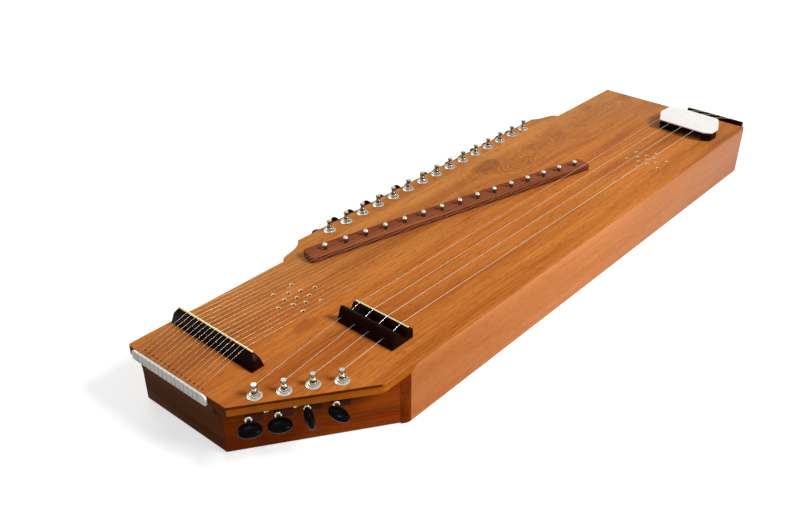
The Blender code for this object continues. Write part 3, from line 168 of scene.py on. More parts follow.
# Wood grain: how long and wide its sway, bands, lines and pores are, and a knot's rings
SWAY_L, SWAY_W = 0.26, 0.05
BAND_L, BAND_W = 0.35, 0.022
LINE_L = 0.11
PORE_L, PORE_W = 0.012, 0.0009
RING_PITCH = 0.0052
WALL_GRAIN = {"line": 0.002, "sway": 0.006, "pores": 0.4}
END_GRAIN = {"line": 0.0009, "sway": 0.002, "pores": 0.8, "rough": 0.55}

# Marks of polish on metal
POLISH_MARK = 0.0024

# Curls of the top's grain: centre, reach, push on the lines, darkness, its plain share
FIGURE = (((0.128, 0.064), 0.036, 0.022, 0.58, 0.2), ((0.100, 0.092), 0.019, -0.010, 0.75, 0.75),
          ((0.146, 0.053), 0.008, 0.004, 0.6, 0.7), ((0.012, 0.062), 0.010, 0.008, 0.6, 0.6),
          ((0.196, 0.074), 0.034, 0.018, 0.2, 0.4), ((-0.317, 0.006), 0.012, 0.003, 0.4, 0.8),
          ((0.345, 0.066), 0.060, 0.024, 0.06, 0.3))

# Slow changes of colour: axis, from where, to where, and what the colour is multiplied by
# Painted sheen on the top: lighter and paler towards the back. Along X it is darker and cooler
# towards the right end, and darker and warmer towards the left end.
TOP_SHEEN_AND_TONES = (("Y", 0.02, 0.15, (1.0, 1.24, 1.55)), ("X", 0.20, 0.45, (0.84, 0.90, 1.05)),
             ("X", -0.20, -0.45, (0.92, 0.84, 0.76)))
# Painted shade: the front wall is darker towards its left end and towards its right end.
FRONT_SHADE = (("X", -0.10, -0.335, (0.84, 0.74, 0.58)), ("X", 0.05, 0.457, (0.66, 0.69, 0.82)))
# Painted shade: the melody strings grow darker and browner from just past the bridge, fully from
# the bar on to their posts.
STRING_SHADE = (("X", -0.36, -0.22, (0.55, 0.46, 0.37)),)

# Camera and light
CAMERA_PLACE = Vector((-0.81874, -0.55903, TOP_Z + 0.53978))
CAMERA_YAW = math.radians(41.51)
CAMERA_PITCH = math.radians(31.94)
FOCAL_PIXELS = 910.6
IMAGE_WIDTH = 794
SENSOR = 36.0
CLIP_NEAR, CLIP_FAR = 0.01, 50
# Each light's place, what it is turned to, its size in metres and its power in watts
LIGHTS = {"key_light": ((2.0, -5.2, 4.9), (0, 0, 0.05), 2.6, 560),
          "back_light": ((0.2, 1.5, 1.6), (0, 0, 0), 1.0, 8)}
# The paper floor as it is seen, with its glow, and as it throws light back; the sky's light
FLOOR_SEEN, FLOOR_GLOW, FLOOR_LIT, SKY_LIGHT = 0.6, 0.62, 0.45, 0.34
FLOOR_REACH, FLOOR_DROP = 6.0, 0.0002


def linear(code):
    """A hex sRGB colour as linear red, green and blue."""
    parts = [int(code[k:k + 2], 16) / 255 for k in (0, 2, 4)]
    return tuple(c / 12.92 if c <= 0.04045 else ((c + 0.055) / 1.055) ** 2.4 for c in parts)


def colour_setting(name, description, code):
    return FloatVectorProperty(
        name=name, description=description, subtype="COLOR", size=3, min=0, max=1,
        default=linear(code),
    )


def length_setting(name, description, size):
    return FloatProperty(
        name=name, description=description, default=size, min=0, unit="LENGTH", precision=5
    )


class SwarmandalSettings(bpy.types.PropertyGroup):
    """Sizes and colours that a maker would change."""

    top_pale: colour_setting("Top, pale grain", "Early wood of the top", "CE7E38")
    top_dark: colour_setting("Top, dark grain", "Late wood of the top", "9C5019")
    wall_pale: colour_setting("Front wall, pale grain", "Early wood of the front wall", "DA8E5C")
    wall_dark: colour_setting("Front wall, dark grain", "Late wood of the front wall", "C4763F")
    plank_pale: colour_setting("Plank, pale grain", "Early wood of the planks", "BC6818")
    plank_dark: colour_setting("Plank, dark grain", "Late wood of the planks", "8A440C")
    # Partly painted shade: the slanted wall's wood is redder than the front wall's, and darkened
    # for the shade under the plank.
    shaded_slant_pale: colour_setting("Slanted wall, pale grain", "Early wood there", "94430F")
    shaded_slant_dark: colour_setting("Slanted wall, dark grain", "Late wood there", "742B08")
    # Painted shade: the left wall's wood is darkened for the shade on that side.
    shaded_left_pale: colour_setting("Left wall, pale grain", "Early wood of the left wall", "6E3C1A")
    shaded_left_dark: colour_setting("Left wall, dark grain", "Late wood of the left wall", "4E2A10")
    bar_pale: colour_setting("Pin bar, pale grain", "Early wood of the pin bar", "9C5634")
    bar_dark: colour_setting("Pin bar, dark grain", "Late wood of the pin bar", "6A331C")
    black_pale: colour_setting("Blackwood, pale grain", "Reddish streaks", "260B05")
    black_dark: colour_setting("Blackwood, dark grain", "Ground colour", "050201")
    bone: colour_setting("Bone", "Edge strip", "E6E4E0")
    plate: colour_setting("Bone plate", "Plate of the flat bridge", "E8E5E1")
    nickel: colour_setting("Nickel", "Bright plated washers and balls", "C6C2B6")
    # Painted shade: this darker nickel paints the shaded sides of the posts, the bushings' collars
    # and the lower halves of the studs' balls.
    worn: colour_setting("Worn nickel", "Posts and bushings, darkened by handling", "787060")
    brass: colour_setting("Brass", "Rods on bridge and nut", "CDC08C")
    steel: colour_setting("Steel", "Strings", "D8C8A2")
    bright_steel: colour_setting("Bright steel", "Drone strings", "F2EAD6")
    button: colour_setting("Buttons", "Moulded tuner buttons", "060506")
    edge_round: length_setting("Edge rounding", "Radius of the box's edges", 0.0006)
    hole_d: length_setting("Sound hole", "Diameter of a sound hole", 0.0029)
    sink_d: length_setting("Countersink", "Outer diameter of a sound hole's rim", 0.0050)
    washer_d: length_setting("Washer", "Diameter of a tuner's washer", 0.0148)
    stud_d: length_setting("Stud ball", "Diameter of a stud's ball", 0.0063)
    melody_d: length_setting("Melody string", "Diameter", 0.00022)
    drone_d: length_setting("Drone string", "Diameter of the thinnest drone string", 0.0003)
    drone_step: length_setting("Drone step", "How much each drone string is thicker", 0.00006)


# Materials
def add(tree, kind, settings=None, inputs=None):
    """Adds a shader node; an input is a value, or the socket that it is linked from."""
    node = tree.nodes.new("ShaderNode" + kind)
    for name, value in (settings or {}).items():
        setattr(node, name, value)
    for key, value in (inputs or {}).items():
        if isinstance(value, bpy.types.NodeSocket):
            tree.links.new(value, node.inputs[key])
        else:
            node.inputs[key].default_value = value
    return node


def maths(tree, operation, *values, **settings):
    """One step of arithmetic on numbers or sockets."""
    settings["operation"] = operation
    return add(tree, "Math", settings, dict(enumerate(values))).outputs[0]


def vectors(tree, operation, *values):
    """One step of arithmetic on vectors."""
    return add(tree, "VectorMath", {"operation": operation}, dict(enumerate(values))).outputs


def ramp(tree, value, low, high, start=0.0, end=1.0, **settings):
    """A value between low and high, stretched to run from start to end."""
    inputs = dict(enumerate((value, low, high, start, end)))
    return add(tree, "MapRange", settings, inputs).outputs[0]


def blend(tree, share, first, second, kind="MIX"):
    """A share of the second colour over the first, mixed or multiplied."""
    return add(tree, "Mix", {"data_type": "RGBA", "blend_type": kind},
               {0: share, 6: first, 7: second}).outputs[2]


def mapped(tree, place, scale=(1, 1, 1), **inputs):
    """A place that is scaled, and perhaps turned or moved."""
    return add(tree, "Mapping", {}, {"Vector": place, "Scale": scale, **inputs}).outputs[0]


def noise(tree, place, scale, detail, output="Fac", **inputs):
    """Noise with this many bumps along a unit."""
    inputs.update(Vector=place, Scale=scale, Detail=detail)
    return add(tree, "TexNoise", {}, inputs).outputs[output]


def feed(shader, name, socket):
    """Links a socket to a shader's input."""
    shader.id_data.links.new(socket, shader.inputs[name])


def ripple(shader, height, strength, depth):
    """Raises and lowers a shader's surface, to a depth in metres."""
    feed(shader, "Normal", add(shader.id_data, "Bump", {}, {
        "Strength": strength, "Distance": depth, "Height": height}).outputs[0])


def opaque(colour, share=1.0):
    """A colour, or a darker share of it, with full alpha."""
    return (*(c * share for c in colour), 1.0)


def new_material(name, **sockets):
    """A Principled material with constants on its own sockets, and places on the object."""
    mat = bpy.data.materials.new(name)
    mat.use_nodes = True
    tree = mat.node_tree
    shader = tree.nodes["Principled BSDF"]
    for socket, value in sockets.items():
        shader.inputs[socket.replace("_", " ").title().replace("Ior", "IOR")].default_value = value
    return mat, tree, shader, add(tree, "TexCoord").outputs["Object"]


def grain(tree, place, turn, sway):
    """Places along the grain and across it, in metres, and the slow sway of its lines."""
    laid = mapped(tree, place, Rotation=(0, 0, -turn))
    slow = mapped(tree, laid, (1 / SWAY_L, 1 / SWAY_W, 1 / SWAY_W))
    return laid, maths(tree, "MULTIPLY_ADD", noise(tree, slow, 1.0, 2.5), sway, -sway / 2)


def swirl(tree, place, centre, reach, push, rings, plain):
    """A curl of the grain round a grown-over branch: how far it pushes the lines aside, and
    its own darkness, that lies in rings but for a plain share."""
    squeezed = mapped(tree, place, (0.5, 1.0, 0.0), Location=(-centre[0] * 0.5, -centre[1], 0))
    ragged = vectors(tree, "SUBTRACT", noise(tree, place, 26.0, 2.5, "Color"), (0.5, 0.5, 0.5))[0]
    pushed = vectors(tree, "MULTIPLY_ADD", ragged, (reach * 0.8,) * 3, squeezed)[0]
    away = vectors(tree, "LENGTH", pushed)["Value"]
    near = ramp(tree, away, reach * 0.25, reach, 1.0, 0.0, interpolation_type="SMOOTHERSTEP")
    wave = maths(tree, "SINE", maths(tree, "MULTIPLY", away, 2 * math.pi / RING_PITCH))
    dark = maths(tree, "MULTIPLY", near, ramp(tree, wave, -0.4, 1.0, plain, 1.0))
    return maths(tree, "MULTIPLY", near, push), maths(tree, "MULTIPLY", dark, rings)


def streaks(tree, flow, length, width, detail):
    """Noise drawn out along the grain, in strokes of this length and width."""
    drawn = mapped(tree, flow, (1 / length, 1 / width, 1 / width))
    return noise(tree, drawn, 1.0, detail, Roughness=0.55)


def toned(tree, place, ground, tones):
    """Slow changes of colour over a piece: a tone is an axis, the two places in metres that
    it grows between, and what it multiplies the colour by."""
    split = add(tree, "SeparateXYZ", {}, {0: place}).outputs
    for axis, start, end, tint in tones:
        ground = blend(tree, ramp(tree, split[axis], start, end), ground, opaque(tint), "MULTIPLY")
    return ground


def lacquered_wood(name, pale, dark, turn=0.0, line=0.0026, sway=0.012, figure=(), tones=(),
                   rough=0.42, gloss=0.01, pores=0.5):
    """Sawn and sanded hardwood under thin satin lacquer: long grain lines, slow bands of
    colour, and short dark pores, which are drawn twice as wide as real so that they show."""
    mat, tree, shader, place = new_material(
        name, roughness=rough, ior=1.5, specular_ior_level=gloss)
    laid, shift = grain(tree, place, turn, sway)
    knots = 0.0
    for curl in figure:
        moved, rings = swirl(tree, place, *curl)
        shift = maths(tree, "ADD", shift, moved)
        knots = maths(tree, "MAXIMUM", knots, rings)
    split = add(tree, "SeparateXYZ", {}, {0: laid}).outputs
    flow = add(tree, "CombineXYZ", {}, {0: split["X"], 1: maths(tree, "ADD", split["Y"], shift),
                                        2: maths(tree, "ADD", split["Z"], shift)}).outputs[0]
    lines = streaks(tree, flow, LINE_L, line, 3.0)
    bands = streaks(tree, flow, BAND_L, BAND_W, 2.0)
    pore = ramp(tree, streaks(tree, flow, PORE_L, PORE_W, 1.0), 0.56, 0.70, 0.0, pores)
    share = maths(tree, "MULTIPLY_ADD", ramp(tree, lines, 0.32, 0.68), 0.45,
                  ramp(tree, bands, 0.35, 0.65, 0.0, 0.55), use_clamp=True)
    ground = blend(tree, share, opaque(dark), opaque(pale))
    if figure:
        ground = blend(tree, knots, ground, opaque(dark, 0.62))
    ground = toned(tree, place, ground, tones)
    feed(shader, "Base Color", blend(tree, pore, ground, opaque(dark, 0.45)))
    ripple(shader, maths(tree, "MULTIPLY_ADD", pore, -0.8, lines), 0.22, 0.00012)
    feed(shader, "Roughness", ramp(tree, bands, 0.3, 0.7, rough - 0.05, rough + 0.07))
    return mat


def plated_metal(name, colour, rough, tones=()):
    """Polished and plated metal, with faint uneven polish that breaks up its reflections."""
    mat, tree, shader, place = new_material(name, metallic=1.0, base_color=opaque(colour))
    polish = noise(tree, place, 1 / POLISH_MARK, 3.0)
    feed(shader, "Roughness", ramp(tree, polish, 0.3, 0.7, rough * 0.7, rough * 1.5))
    if tones:
        feed(shader, "Base Color", toned(tree, place, opaque(colour), tones))
    ripple(shader, polish, 0.08, 0.00002)
    return mat


def sawn_bone(name, colour, lines_shown):
    """Sawn and rubbed camel bone: nearly white, with faint long marrow lines and a satin rub."""
    mat, tree, shader, place = new_material(
        name, roughness=0.38, ior=1.54, specular_ior_level=0.35)
    lines = noise(tree, mapped(tree, place, (1 / 0.004, 1 / 0.03, 1 / 0.004)), 1.0, 4.0)
    marrow = [c * (1 - lines_shown * f) for c, f in zip(colour, (0.18, 0.20, 0.24))]
    feed(shader, "Base Color", blend(
        tree, ramp(tree, lines, 0.3, 0.62), opaque(marrow), opaque(colour)))
    ripple(shader, lines, 0.12, 0.00005)
    return mat


def moulded_gloss(name, colour):
    """Moulded plastic or enamel, polished: a hard gloss over a slightly rippled skin."""
    mat, tree, shader, place = new_material(
        name, base_color=opaque(colour), roughness=0.2, ior=1.46, specular_ior_level=0.03)
    skin = noise(tree, place, 160.0, 2.0)
    ripple(shader, skin, 0.1, 0.0001)
    feed(shader, "Roughness", ramp(tree, skin, 0.3, 0.7, 0.14, 0.26))
    return mat


def raw_wood(name, colour):
    """Cut wood with no lacquer, in a countersink, bore or groove: dull, dry and fuzzy."""
    mat, tree, shader, place = new_material(name, roughness=0.75, specular_ior_level=0.2)
    fuzz = noise(tree, place, 900.0, 3.0)
    feed(shader, "Base Color", blend(tree, fuzz, opaque(colour, 0.72), opaque(colour)))
    ripple(shader, fuzz, 0.3, 0.0001)
    return mat


def finish(kind):
    """The finish of this name, made once from the settings."""
    known = bpy.data.materials.get(kind)
    if known:
        return known
    look = bpy.context.scene.swarmandal
    wood, across = lacquered_wood, math.pi / 2
    make, *values, extras = {
        "lacquered_top": (wood, look.top_pale, look.top_dark,
                          {"figure": FIGURE, "tones": TOP_SHEEN_AND_TONES, "gloss": 0.03}),
        "lacquered_plank": (wood, look.plank_pale, look.plank_dark,
                            {"turn": SLANT_ANGLE, "line": 0.0011, "sway": 0.002}),
        "lacquered_wing": (wood, look.wall_pale, look.wall_dark, {"line": 0.0018, "sway": 0.004}),
        # End grain in the left wall's darkened colours: real end grain with painted shade.
        "end_grain": (wood, look.shaded_left_pale, look.shaded_left_dark, END_GRAIN),
        "front_end_grain": (wood, look.shaded_slant_pale, look.shaded_slant_dark, END_GRAIN),
        # Painted shade: the dark red of the top board's slanted edge.
        "glued_edge": (wood, look.shaded_slant_dark, look.shaded_left_dark,
                       {"turn": SLANT_ANGLE, "line": 0.0006, "sway": 0.001}),
        "lacquered_front": (wood, look.wall_pale, look.wall_dark,
                            {**WALL_GRAIN, "line": 0.0016, "tones": FRONT_SHADE, "gloss": 0.03}),
        # Partly painted shade: redder wood, darkened for the shade under the plank; also used on
        # the base board.
        "lacquered_slant": (wood, look.shaded_slant_pale, look.shaded_slant_dark,
                            {**WALL_GRAIN, "turn": SLANT_ANGLE}),
        # Painted shade: the left wall's darkened wood, also used on the tail wall and the base
        # board's left edge.
        "lacquered_left": (wood, look.shaded_left_pale, look.shaded_left_dark, {**WALL_GRAIN, "turn": across}),
        "oiled_bar": (wood, look.bar_pale, look.bar_dark,
                      {"turn": BAR_ANGLE, "line": 0.0011, "sway": 0.002}),
        "polished_blackwood": (wood, look.black_pale, look.black_dark,
                               {"turn": across, "line": 0.0012, "sway": 0.003, "rough": 0.3,
                                "gloss": 0.03, "pores": 0.3}),
        "raw_countersink": (raw_wood, linear("EFC894"), {}),
        # Grey, for the grooves down the bone strip's face.
        "stained_groove": (raw_wood, linear("86847E"), {}),
        # Painted shade: dark brown, for the shade in the pin bar's coves.
        "stained_cove": (raw_wood, linear("5A2210"), {}),
        # Painted shade: near black, for the shade inside the sound holes.
        "dusty_bore": (raw_wood, linear("140903"), {}),
        "sawn_bone": (sawn_bone, look.bone, 1.0, {}),
        "polished_bone": (sawn_bone, look.plate, 0.25, {}),
        "nickel_plate": (plated_metal, look.nickel, 0.16, {}),
        # Painted shade: nickel darkened for the shaded sides and undersides of the metal parts.
        "worn_nickel": (plated_metal, look.worn, 0.2, {}),
        "brass_rod": (plated_metal, look.brass, 0.3, {}),
        "drawn_steel": (plated_metal, look.steel, 0.3, {"tones": STRING_SHADE}),
        "polished_steel": (plated_metal, look.bright_steel, 0.2, {}),
        # Dark steel for the guide pins, and painted shade under the studs' balls.
        "dark_pin_steel": (plated_metal, linear("2A2520"), 0.4, {}),
        # Painted shadow: tuner cases in the dark brown of the shade under the plank.
        "brown_enamel": (moulded_gloss, linear("43190A"), {}),
        "moulded_black": (moulded_gloss, look.button, {}),
    }[kind]
    return make(kind, *values, **extras)


# Shapes
def around(centre, radius, angle):
    """A spot on a circle."""
    return centre[0] + radius * math.cos(angle), centre[1] + radius * math.sin(angle)


def slab(outline, low, high):
    """A flat outline pushed up from one height to another."""
    bm = bmesh.new()
    face = bm.faces.new([bm.verts.new((x, y, low)) for x, y in outline])
    grown = bmesh.ops.extrude_face_region(bm, geom=[face])["geom"]
    raised = [item for item in grown if isinstance(item, bmesh.types.BMVert)]
    bmesh.ops.translate(bm, verts=raised, vec=(0, 0, high - low))
    bmesh.ops.recalc_face_normals(bm, faces=bm.faces)
    return bm


def block(low, high):
    """A box between two corners."""
    bm = bmesh.new()
    low, high = Vector(low), Vector(high)
    bmesh.ops.create_cube(
        bm, size=1.0, matrix=at((low + high) / 2) @ Matrix.Diagonal((*(high - low), 1.0)))
    return bm


def lathe(profile, steps=20):
    """A shape turned round Z from (radius, height) points."""
    bm = bmesh.new()
    verts = [bm.verts.new((radius, 0, height)) for radius, height in profile]
    edges = [bm.edges.new(pair) for pair in zip(verts, verts[1:])]
    bmesh.ops.spin(bm, geom=verts + edges, cent=(0, 0, 0), axis=(0, 0, 1),
                   angle=2 * math.pi, steps=steps, use_merge=True)
    bmesh.ops.remove_doubles(bm, verts=bm.verts, dist=1e-6)
    bmesh.ops.recalc_face_normals(bm, faces=bm.faces)
    return bm


def bar_of(radius, low, high, steps=20):
    """A round bar along Z."""
    return lathe([(0, low), (radius, low), (radius, high), (0, high)], steps)


def copy_of(node):
    """The solid of a node as a merged shape with flat faces joined."""
    bm = bmesh.new()
    bm.from_mesh(frame["nodes"][node].data)
    bmesh.ops.remove_doubles(bm, verts=bm.verts, dist=2e-6)
    bmesh.ops.dissolve_limit(bm, angle_limit=math.radians(0.4), verts=bm.verts, edges=bm.edges)
    return bm


def moved(bm, matrix):
    """The shape itself, after a move."""
    bmesh.ops.transform(bm, verts=bm.verts, matrix=matrix)
    return bm


def bevel(bm, edges, width, steps):
    """Rounds some edges."""
    bmesh.ops.bevel(bm, geom=edges, offset=width, offset_type="OFFSET", segments=steps,
                    profile=0.5, affect="EDGES", clamp_overlap=True, material=-1)


def soften(bm, width, steps=3, angle=30, where=None, longer=0.0, match=all):
    """Rounds outer edges that turn by more than an angle and are longer than a length, and
    of whose ends all or any are where a test says."""
    bevel(bm, [
        edge for edge in bm.edges
        if edge.is_manifold and edge.is_convex and edge.calc_length() > longer
        and edge.calc_face_angle(0) > math.radians(angle)
        and (where is None or match(where(vert.co) for vert in edge.verts))
    ], width, steps)


def uprights(bm):
    """Each upright edge of a shape, with its (x, y) spot."""
    pairs = [(edge, [vert.co.xy for vert in edge.verts]) for edge in bm.edges]
    return [(edge, a) for edge, (a, b) in pairs if (a - b).length < 1e-6]


def round_upright(bm, spot, radius, steps=6):
    """Rounds the upright edge at a spot to this radius."""
    edges = [edge for edge, place in uprights(bm) if (place - Vector(spot)).length < 1e-4]
    bevel(bm, edges, radius * math.tan(edges[0].calc_face_angle() / 2), steps)


def stamp(target, source, matrix=Matrix(), index=None):
    """Adds a moved copy of a shape, or a mesh, whose faces may get one material's index."""
    mesh = source
    if isinstance(source, bmesh.types.BMesh):
        mesh = bpy.data.meshes.new("stamp")
        source.to_mesh(mesh)
    mesh.transform(matrix)
    before = len(target.faces)
    target.from_mesh(mesh)
    target.faces.ensure_lookup_table()
    if index is not None:
        for face in target.faces[before:]:
            face.material_index = index
    bpy.data.meshes.remove(mesh)


def paint(bm, index, test):
    """Gives a material's index to the faces that a test of centre and normal picks."""
    for face in bm.faces:
        if test(face.calc_center_median(), face.normal):
            face.material_index = index


def shaded(mesh, sharp=35):
    """A mesh, shaded smooth but for edges that turn by more than an angle."""
    mesh.shade_smooth()
    mesh.set_sharp_from_angle(angle=math.radians(sharp))
    return mesh


def mesh_of(bm, finishes, sharp=35):
    """A shape as a shaded mesh with its finishes."""
    mesh = bpy.data.meshes.new("shape")
    bm.to_mesh(mesh)
    bm.free()
    for kind in finishes:
        mesh.materials.append(finish(kind))
    return shaded(mesh, sharp)


def placed(name, data):
    """A new object in the scene."""
    thing = bpy.data.objects.new(name, data)
    bpy.context.scene.collection.objects.link(thing)
    return thing


def result_of(thing, *helpers):
    """The mesh that an object comes to, after which it and its helpers are removed."""
    bpy.context.view_layer.update()
    mesh = bpy.data.meshes.new_from_object(
        thing.evaluated_get(bpy.context.evaluated_depsgraph_get()))
    for used in (thing, *helpers):
        bpy.data.objects.remove(used, do_unlink=True)
    return mesh


def combined(operation, mesh, shape, kinds):
    """A mesh that a shape is cut out of or welded to, with the shape's own finishes."""
    body, other = placed("body", mesh), placed("other", mesh_of(shape, kinds))
    step = body.modifiers.new("step", "BOOLEAN")
    step.operation, step.object = operation, other
    step.solver, step.material_mode = "EXACT", "TRANSFER"
    return shaded(result_of(body, other))


def carved(mesh, cutters, *kinds):
    """A mesh with shapes cut out of it, whose cut faces have their own finishes."""
    return combined("DIFFERENCE", mesh, cutters, kinds)


def piece(name, shape, finishes=(), nodes=(), body=BODY, sharp=35):
    """Makes a piece from a shape or a mesh, and lets it ride on a body."""
    if isinstance(shape, bmesh.types.BMesh):
        shape = mesh_of(shape, finishes, sharp)
    shape.name = name
    thing = placed(name, shape)
    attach(thing, body)
    if nodes:
        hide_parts(*nodes)


# Places
def wing_edge():
    """The S-shaped ends of the wing and its edge, from the right end to the left end."""
    right, left = ([
        Vector((start_x + run * along, BACK_Y + WING_OUT * out))
        for along, out in ((0, 0), *bend, (1, 1))
    ] for start_x, run, bend in (WING_RIGHT, WING_LEFT))
    return interpolate_bezier(*right, 17) + interpolate_bezier(*left, 17)[::-1]


def edge_x(y):
    """The left edge of the top at this y."""
    return CORNER_A.x + (CORNER_B.x - CORNER_A.x) * (CORNER_A.y - y) / (CORNER_A.y - CORNER_B.y)


def string_lines():
    """Where each melody string crosses the strip and the bridge."""
    return [(STRIP_FIRST_Y - STRIP_PITCH * k, BRIDGE_FIRST_Y - BRIDGE_PITCH * k)
            for k in range(MELODY_COUNT)]


def tuners():
    """Each tuner: its name, the post's axis and the direction that its key points in."""
    names = [f"{row}_{number}" for row, count in (("front", DRONE_COUNT), ("wing", MELODY_COUNT))
             for number in range(1, count + 1)]
    return [(name, Vector(JOINTS["post_" + name]["pos_m"][:2]),
             Vector(JOINTS["key_" + name]["axis"]).xy.normalized()) for name in names]


def tuner_frame(spot, out):
    """Axes at a tuner: X outwards, Z up, on the post's axis at the top face."""
    return at((*spot, TOP_Z)) @ Matrix.Rotation(math.atan2(out.y, out.x), 4, "Z")


def key_frame(name, out):
    """Axes on a key's shaft: Z outwards, Y along the width of its button in its solid."""
    origin, axis = Vector(JOINTS["key_" + name]["pos_m"]), Vector((*out, 0))
    points = [vert.co - origin for vert in frame["nodes"]["key_" + name].data.vertices]
    wide = max((point - axis * point.dot(axis) for point in points),
               key=lambda point: point.length).normalized()
    return at(origin) @ Matrix((wide.cross(axis), wide, axis)).transposed().to_4x4()


# Box pieces
class SWARMANDAL_OT_sound_board(bpy.types.Operator):
    """Model the top with its countersunk sound holes, its braces and its tail block"""

    bl_idname = "swarmandal.sound_board"
    bl_label = "Sound Board"

    def execute(self, context):
        look = context.scene.swarmandal
        board = slab([(RIGHT_X, BACK_Y), *wing_edge(), CORNER_A, CORNER_B, CORNER_C,
                      (RIGHT_X, FRONT_Y)], BOARD_UNDER, TOP_Z)
        for spot, radius in TOP_ROUNDS:
            round_upright(board, spot, radius)
        soften(board, look.edge_round, 3, 60)
        # The board's left edge is end grain in the left wall's colours, with painted shade.
        paint(board, 1, lambda centre, normal: normal.x < -0.9)
        # Painted shade: the board's slanted edge is dark red.
        paint(board, 2, lambda centre, normal: max(normal.x, normal.y) < -0.4)
        hole, sink, drill = look.hole_d / 2, look.sink_d / 2, bmesh.new()
        depth = (sink - hole) * SINK_SLOPE
        bit = lathe([(0, -DRILLED), (hole, -DRILLED), (hole, -depth), (sink + 0.0003, 0.0002),
                     (0, 0.0002)])
        # Painted shade: the bore below the countersink gets a near-black colour for the shade
        # inside each hole.
        paint(bit, 1, lambda centre, normal: centre.z < -depth)
        for centre in HOLE_CENTRES:
            for radius, start, count in HOLE_RINGS:
                for k in range(count):
                    spot = around(centre, radius, math.radians(start + 60 * k))
                    stamp(drill, bit, at((*spot, TOP_Z)))
        mesh = carved(mesh_of(board, ("lacquered_top", "end_grain", "glued_edge")), drill,
                      "raw_countersink", "dusty_bore")
        piece("sound_board", mesh, nodes=["soundboard"])
        low_y, high_y = FRONT_Y + WALL_T + SEAT, BACK_Y - BACK_SETBACK - WALL_T - SEAT
        for number, (low_x, high_x, tall) in enumerate(BRACES, 1):
            brace = block((low_x, low_y, BOARD_UNDER - tall), (high_x, high_y, BOARD_UNDER))
            soften(brace, ROUND["brace"], 2)
            piece(f"brace_{number}", brace, ["lacquered_front"])
        return {"FINISHED"}


class SWARMANDAL_OT_planks(bpy.types.Operator):
    """Model the thick planks under the top, across the head and along the wing"""

    bl_idname = "swarmandal.planks"
    bl_label = "Planks"

    def execute(self, context):
        def below(place):
            return place.z < PLANK_UNDER + TINY
        head = copy_of("head_plank")
        soften(head, ROUND["head_plank"], 3, 40, below, 0.0012)
        # The plank's left end is end grain, with painted shade.
        paint(head, 1, lambda centre, normal: normal.x < -0.9)
        piece("head_plank_wood", head, ["lacquered_plank", "end_grain"],
              ["head_plank"])
        inner_y = BACK_Y - BACK_SETBACK - WALL_T
        start = SCARF_X + SEAT * math.hypot(SCARF_RUN, PLANK_T) / PLANK_T
        plank = slab([(start, inner_y), (PLANK_END_X, inner_y), (PLANK_END_X, BACK_Y),
                      *wing_edge(), (start, BACK_Y)], PLANK_UNDER, PLANK_TOP)
        for vert in plank.verts:
            if below(vert.co) and vert.co.x < start + TINY:
                vert.co.x -= SCARF_RUN
        soften(plank, ROUND["wing_plank"], 3, 60, below)
        piece("wing_plank_wood", plank, ["lacquered_wing"], ["wing_plank"])
        return {"FINISHED"}


class SWARMANDAL_OT_walls(bpy.types.Operator):
    """Model the walls and the base board with softened edges"""

    bl_idname = "swarmandal.walls"
    bl_label = "Walls And Base"

    def execute(self, context):
        softness = context.scene.swarmandal.edge_round * 0.4
        for node, *kinds in (("front_wall", "lacquered_front", "front_end_grain"),
                             ("back_wall", "lacquered_front"), ("tail_wall", "lacquered_left"),
                             ("slant_wall", "lacquered_slant"),
                             ("base_board", "lacquered_slant", "lacquered_left")):
            wall = copy_of(node)
            soften(wall, softness, 2, 40)
            # The front wall's slanted end is end grain in the slanted wall's colours, with painted
            # shade.
            if node == "front_wall":
                paint(wall, 1, lambda centre, normal: max(normal.x, normal.y) < -0.4)
            if node == "base_board":
                paint(wall, 1, lambda centre, normal: normal.x < -0.9)
            piece(node + "_wood", wall, kinds, [node])
        left, lines, pin_z = copy_of("left_wall"), string_lines(), TOP_Z - HITCH_DROP
        for face in left.faces:
            if all(math.hypot(min(abs(vert.co.y - y) for y, _ in lines), vert.co.z - pin_z)
                   <= HITCH_D * 0.6 for vert in face.verts):
                face.material_index = 1
        piece("left_wall_wood", left, ["lacquered_left", "nickel_plate"],
              ["left_wall"])
        return {"FINISHED"}


class SWARMANDAL_OT_edge_strip(bpy.types.Operator):
    """Model the notched bone strip on the left edge and the guide pins behind it"""

    bl_idname = "swarmandal.edge_strip"
    bl_label = "Edge Strip"

    def execute(self, context):
        strip = copy_of("edge_strip")
        soften(strip, ROUND["edge_strip"], 3, 40)
        vee = lathe([(0, -NOTCH_DEPTH), (NOTCH_R, 0.0006), (0, 0.0006)], 4)
        worn = bar_of(GROOVE_R, -0.001, STRIP_H + 0.001, 6)
        pin = lathe([(0, 0), (GUIDE_D / 2, 0), (GUIDE_D / 2, GUIDE_H - 0.0004),
                     (GUIDE_D / 3, GUIDE_H), (0, GUIDE_H)], 10)
        notches, grooves, pins = bmesh.new(), bmesh.new(), bmesh.new()
        for strip_y, bridge_y in string_lines():
            edge = edge_x(strip_y)
            outer, rim = edge - SEAT - STRIP_T, TOP_Z + STRIP_RISE
            for depth in (0.0, NOTCH_APART):
                stamp(notches, vee, at((outer + depth, strip_y, rim)))
            stamp(grooves, worn, at((outer, strip_y, rim - STRIP_H)))
            x = LEFT_X + GUIDE_SETBACK
            y = strip_y + (bridge_y - strip_y) * (x - edge) / (BRIDGE_X - edge)
            stamp(pins, pin, at((x, y - GUIDE_D / 2 - 0.0005, TOP_Z)))
        # The grooves down the strip's face are coloured grey.
        mesh = carved(mesh_of(strip, ["sawn_bone"]), grooves, "stained_groove")
        piece("edge_strip_bone", carved(mesh, notches, "sawn_bone"),
              nodes=["edge_strip"])
        piece("guide_pins", pins, ["dark_pin_steel"])
        return {"FINISHED"}


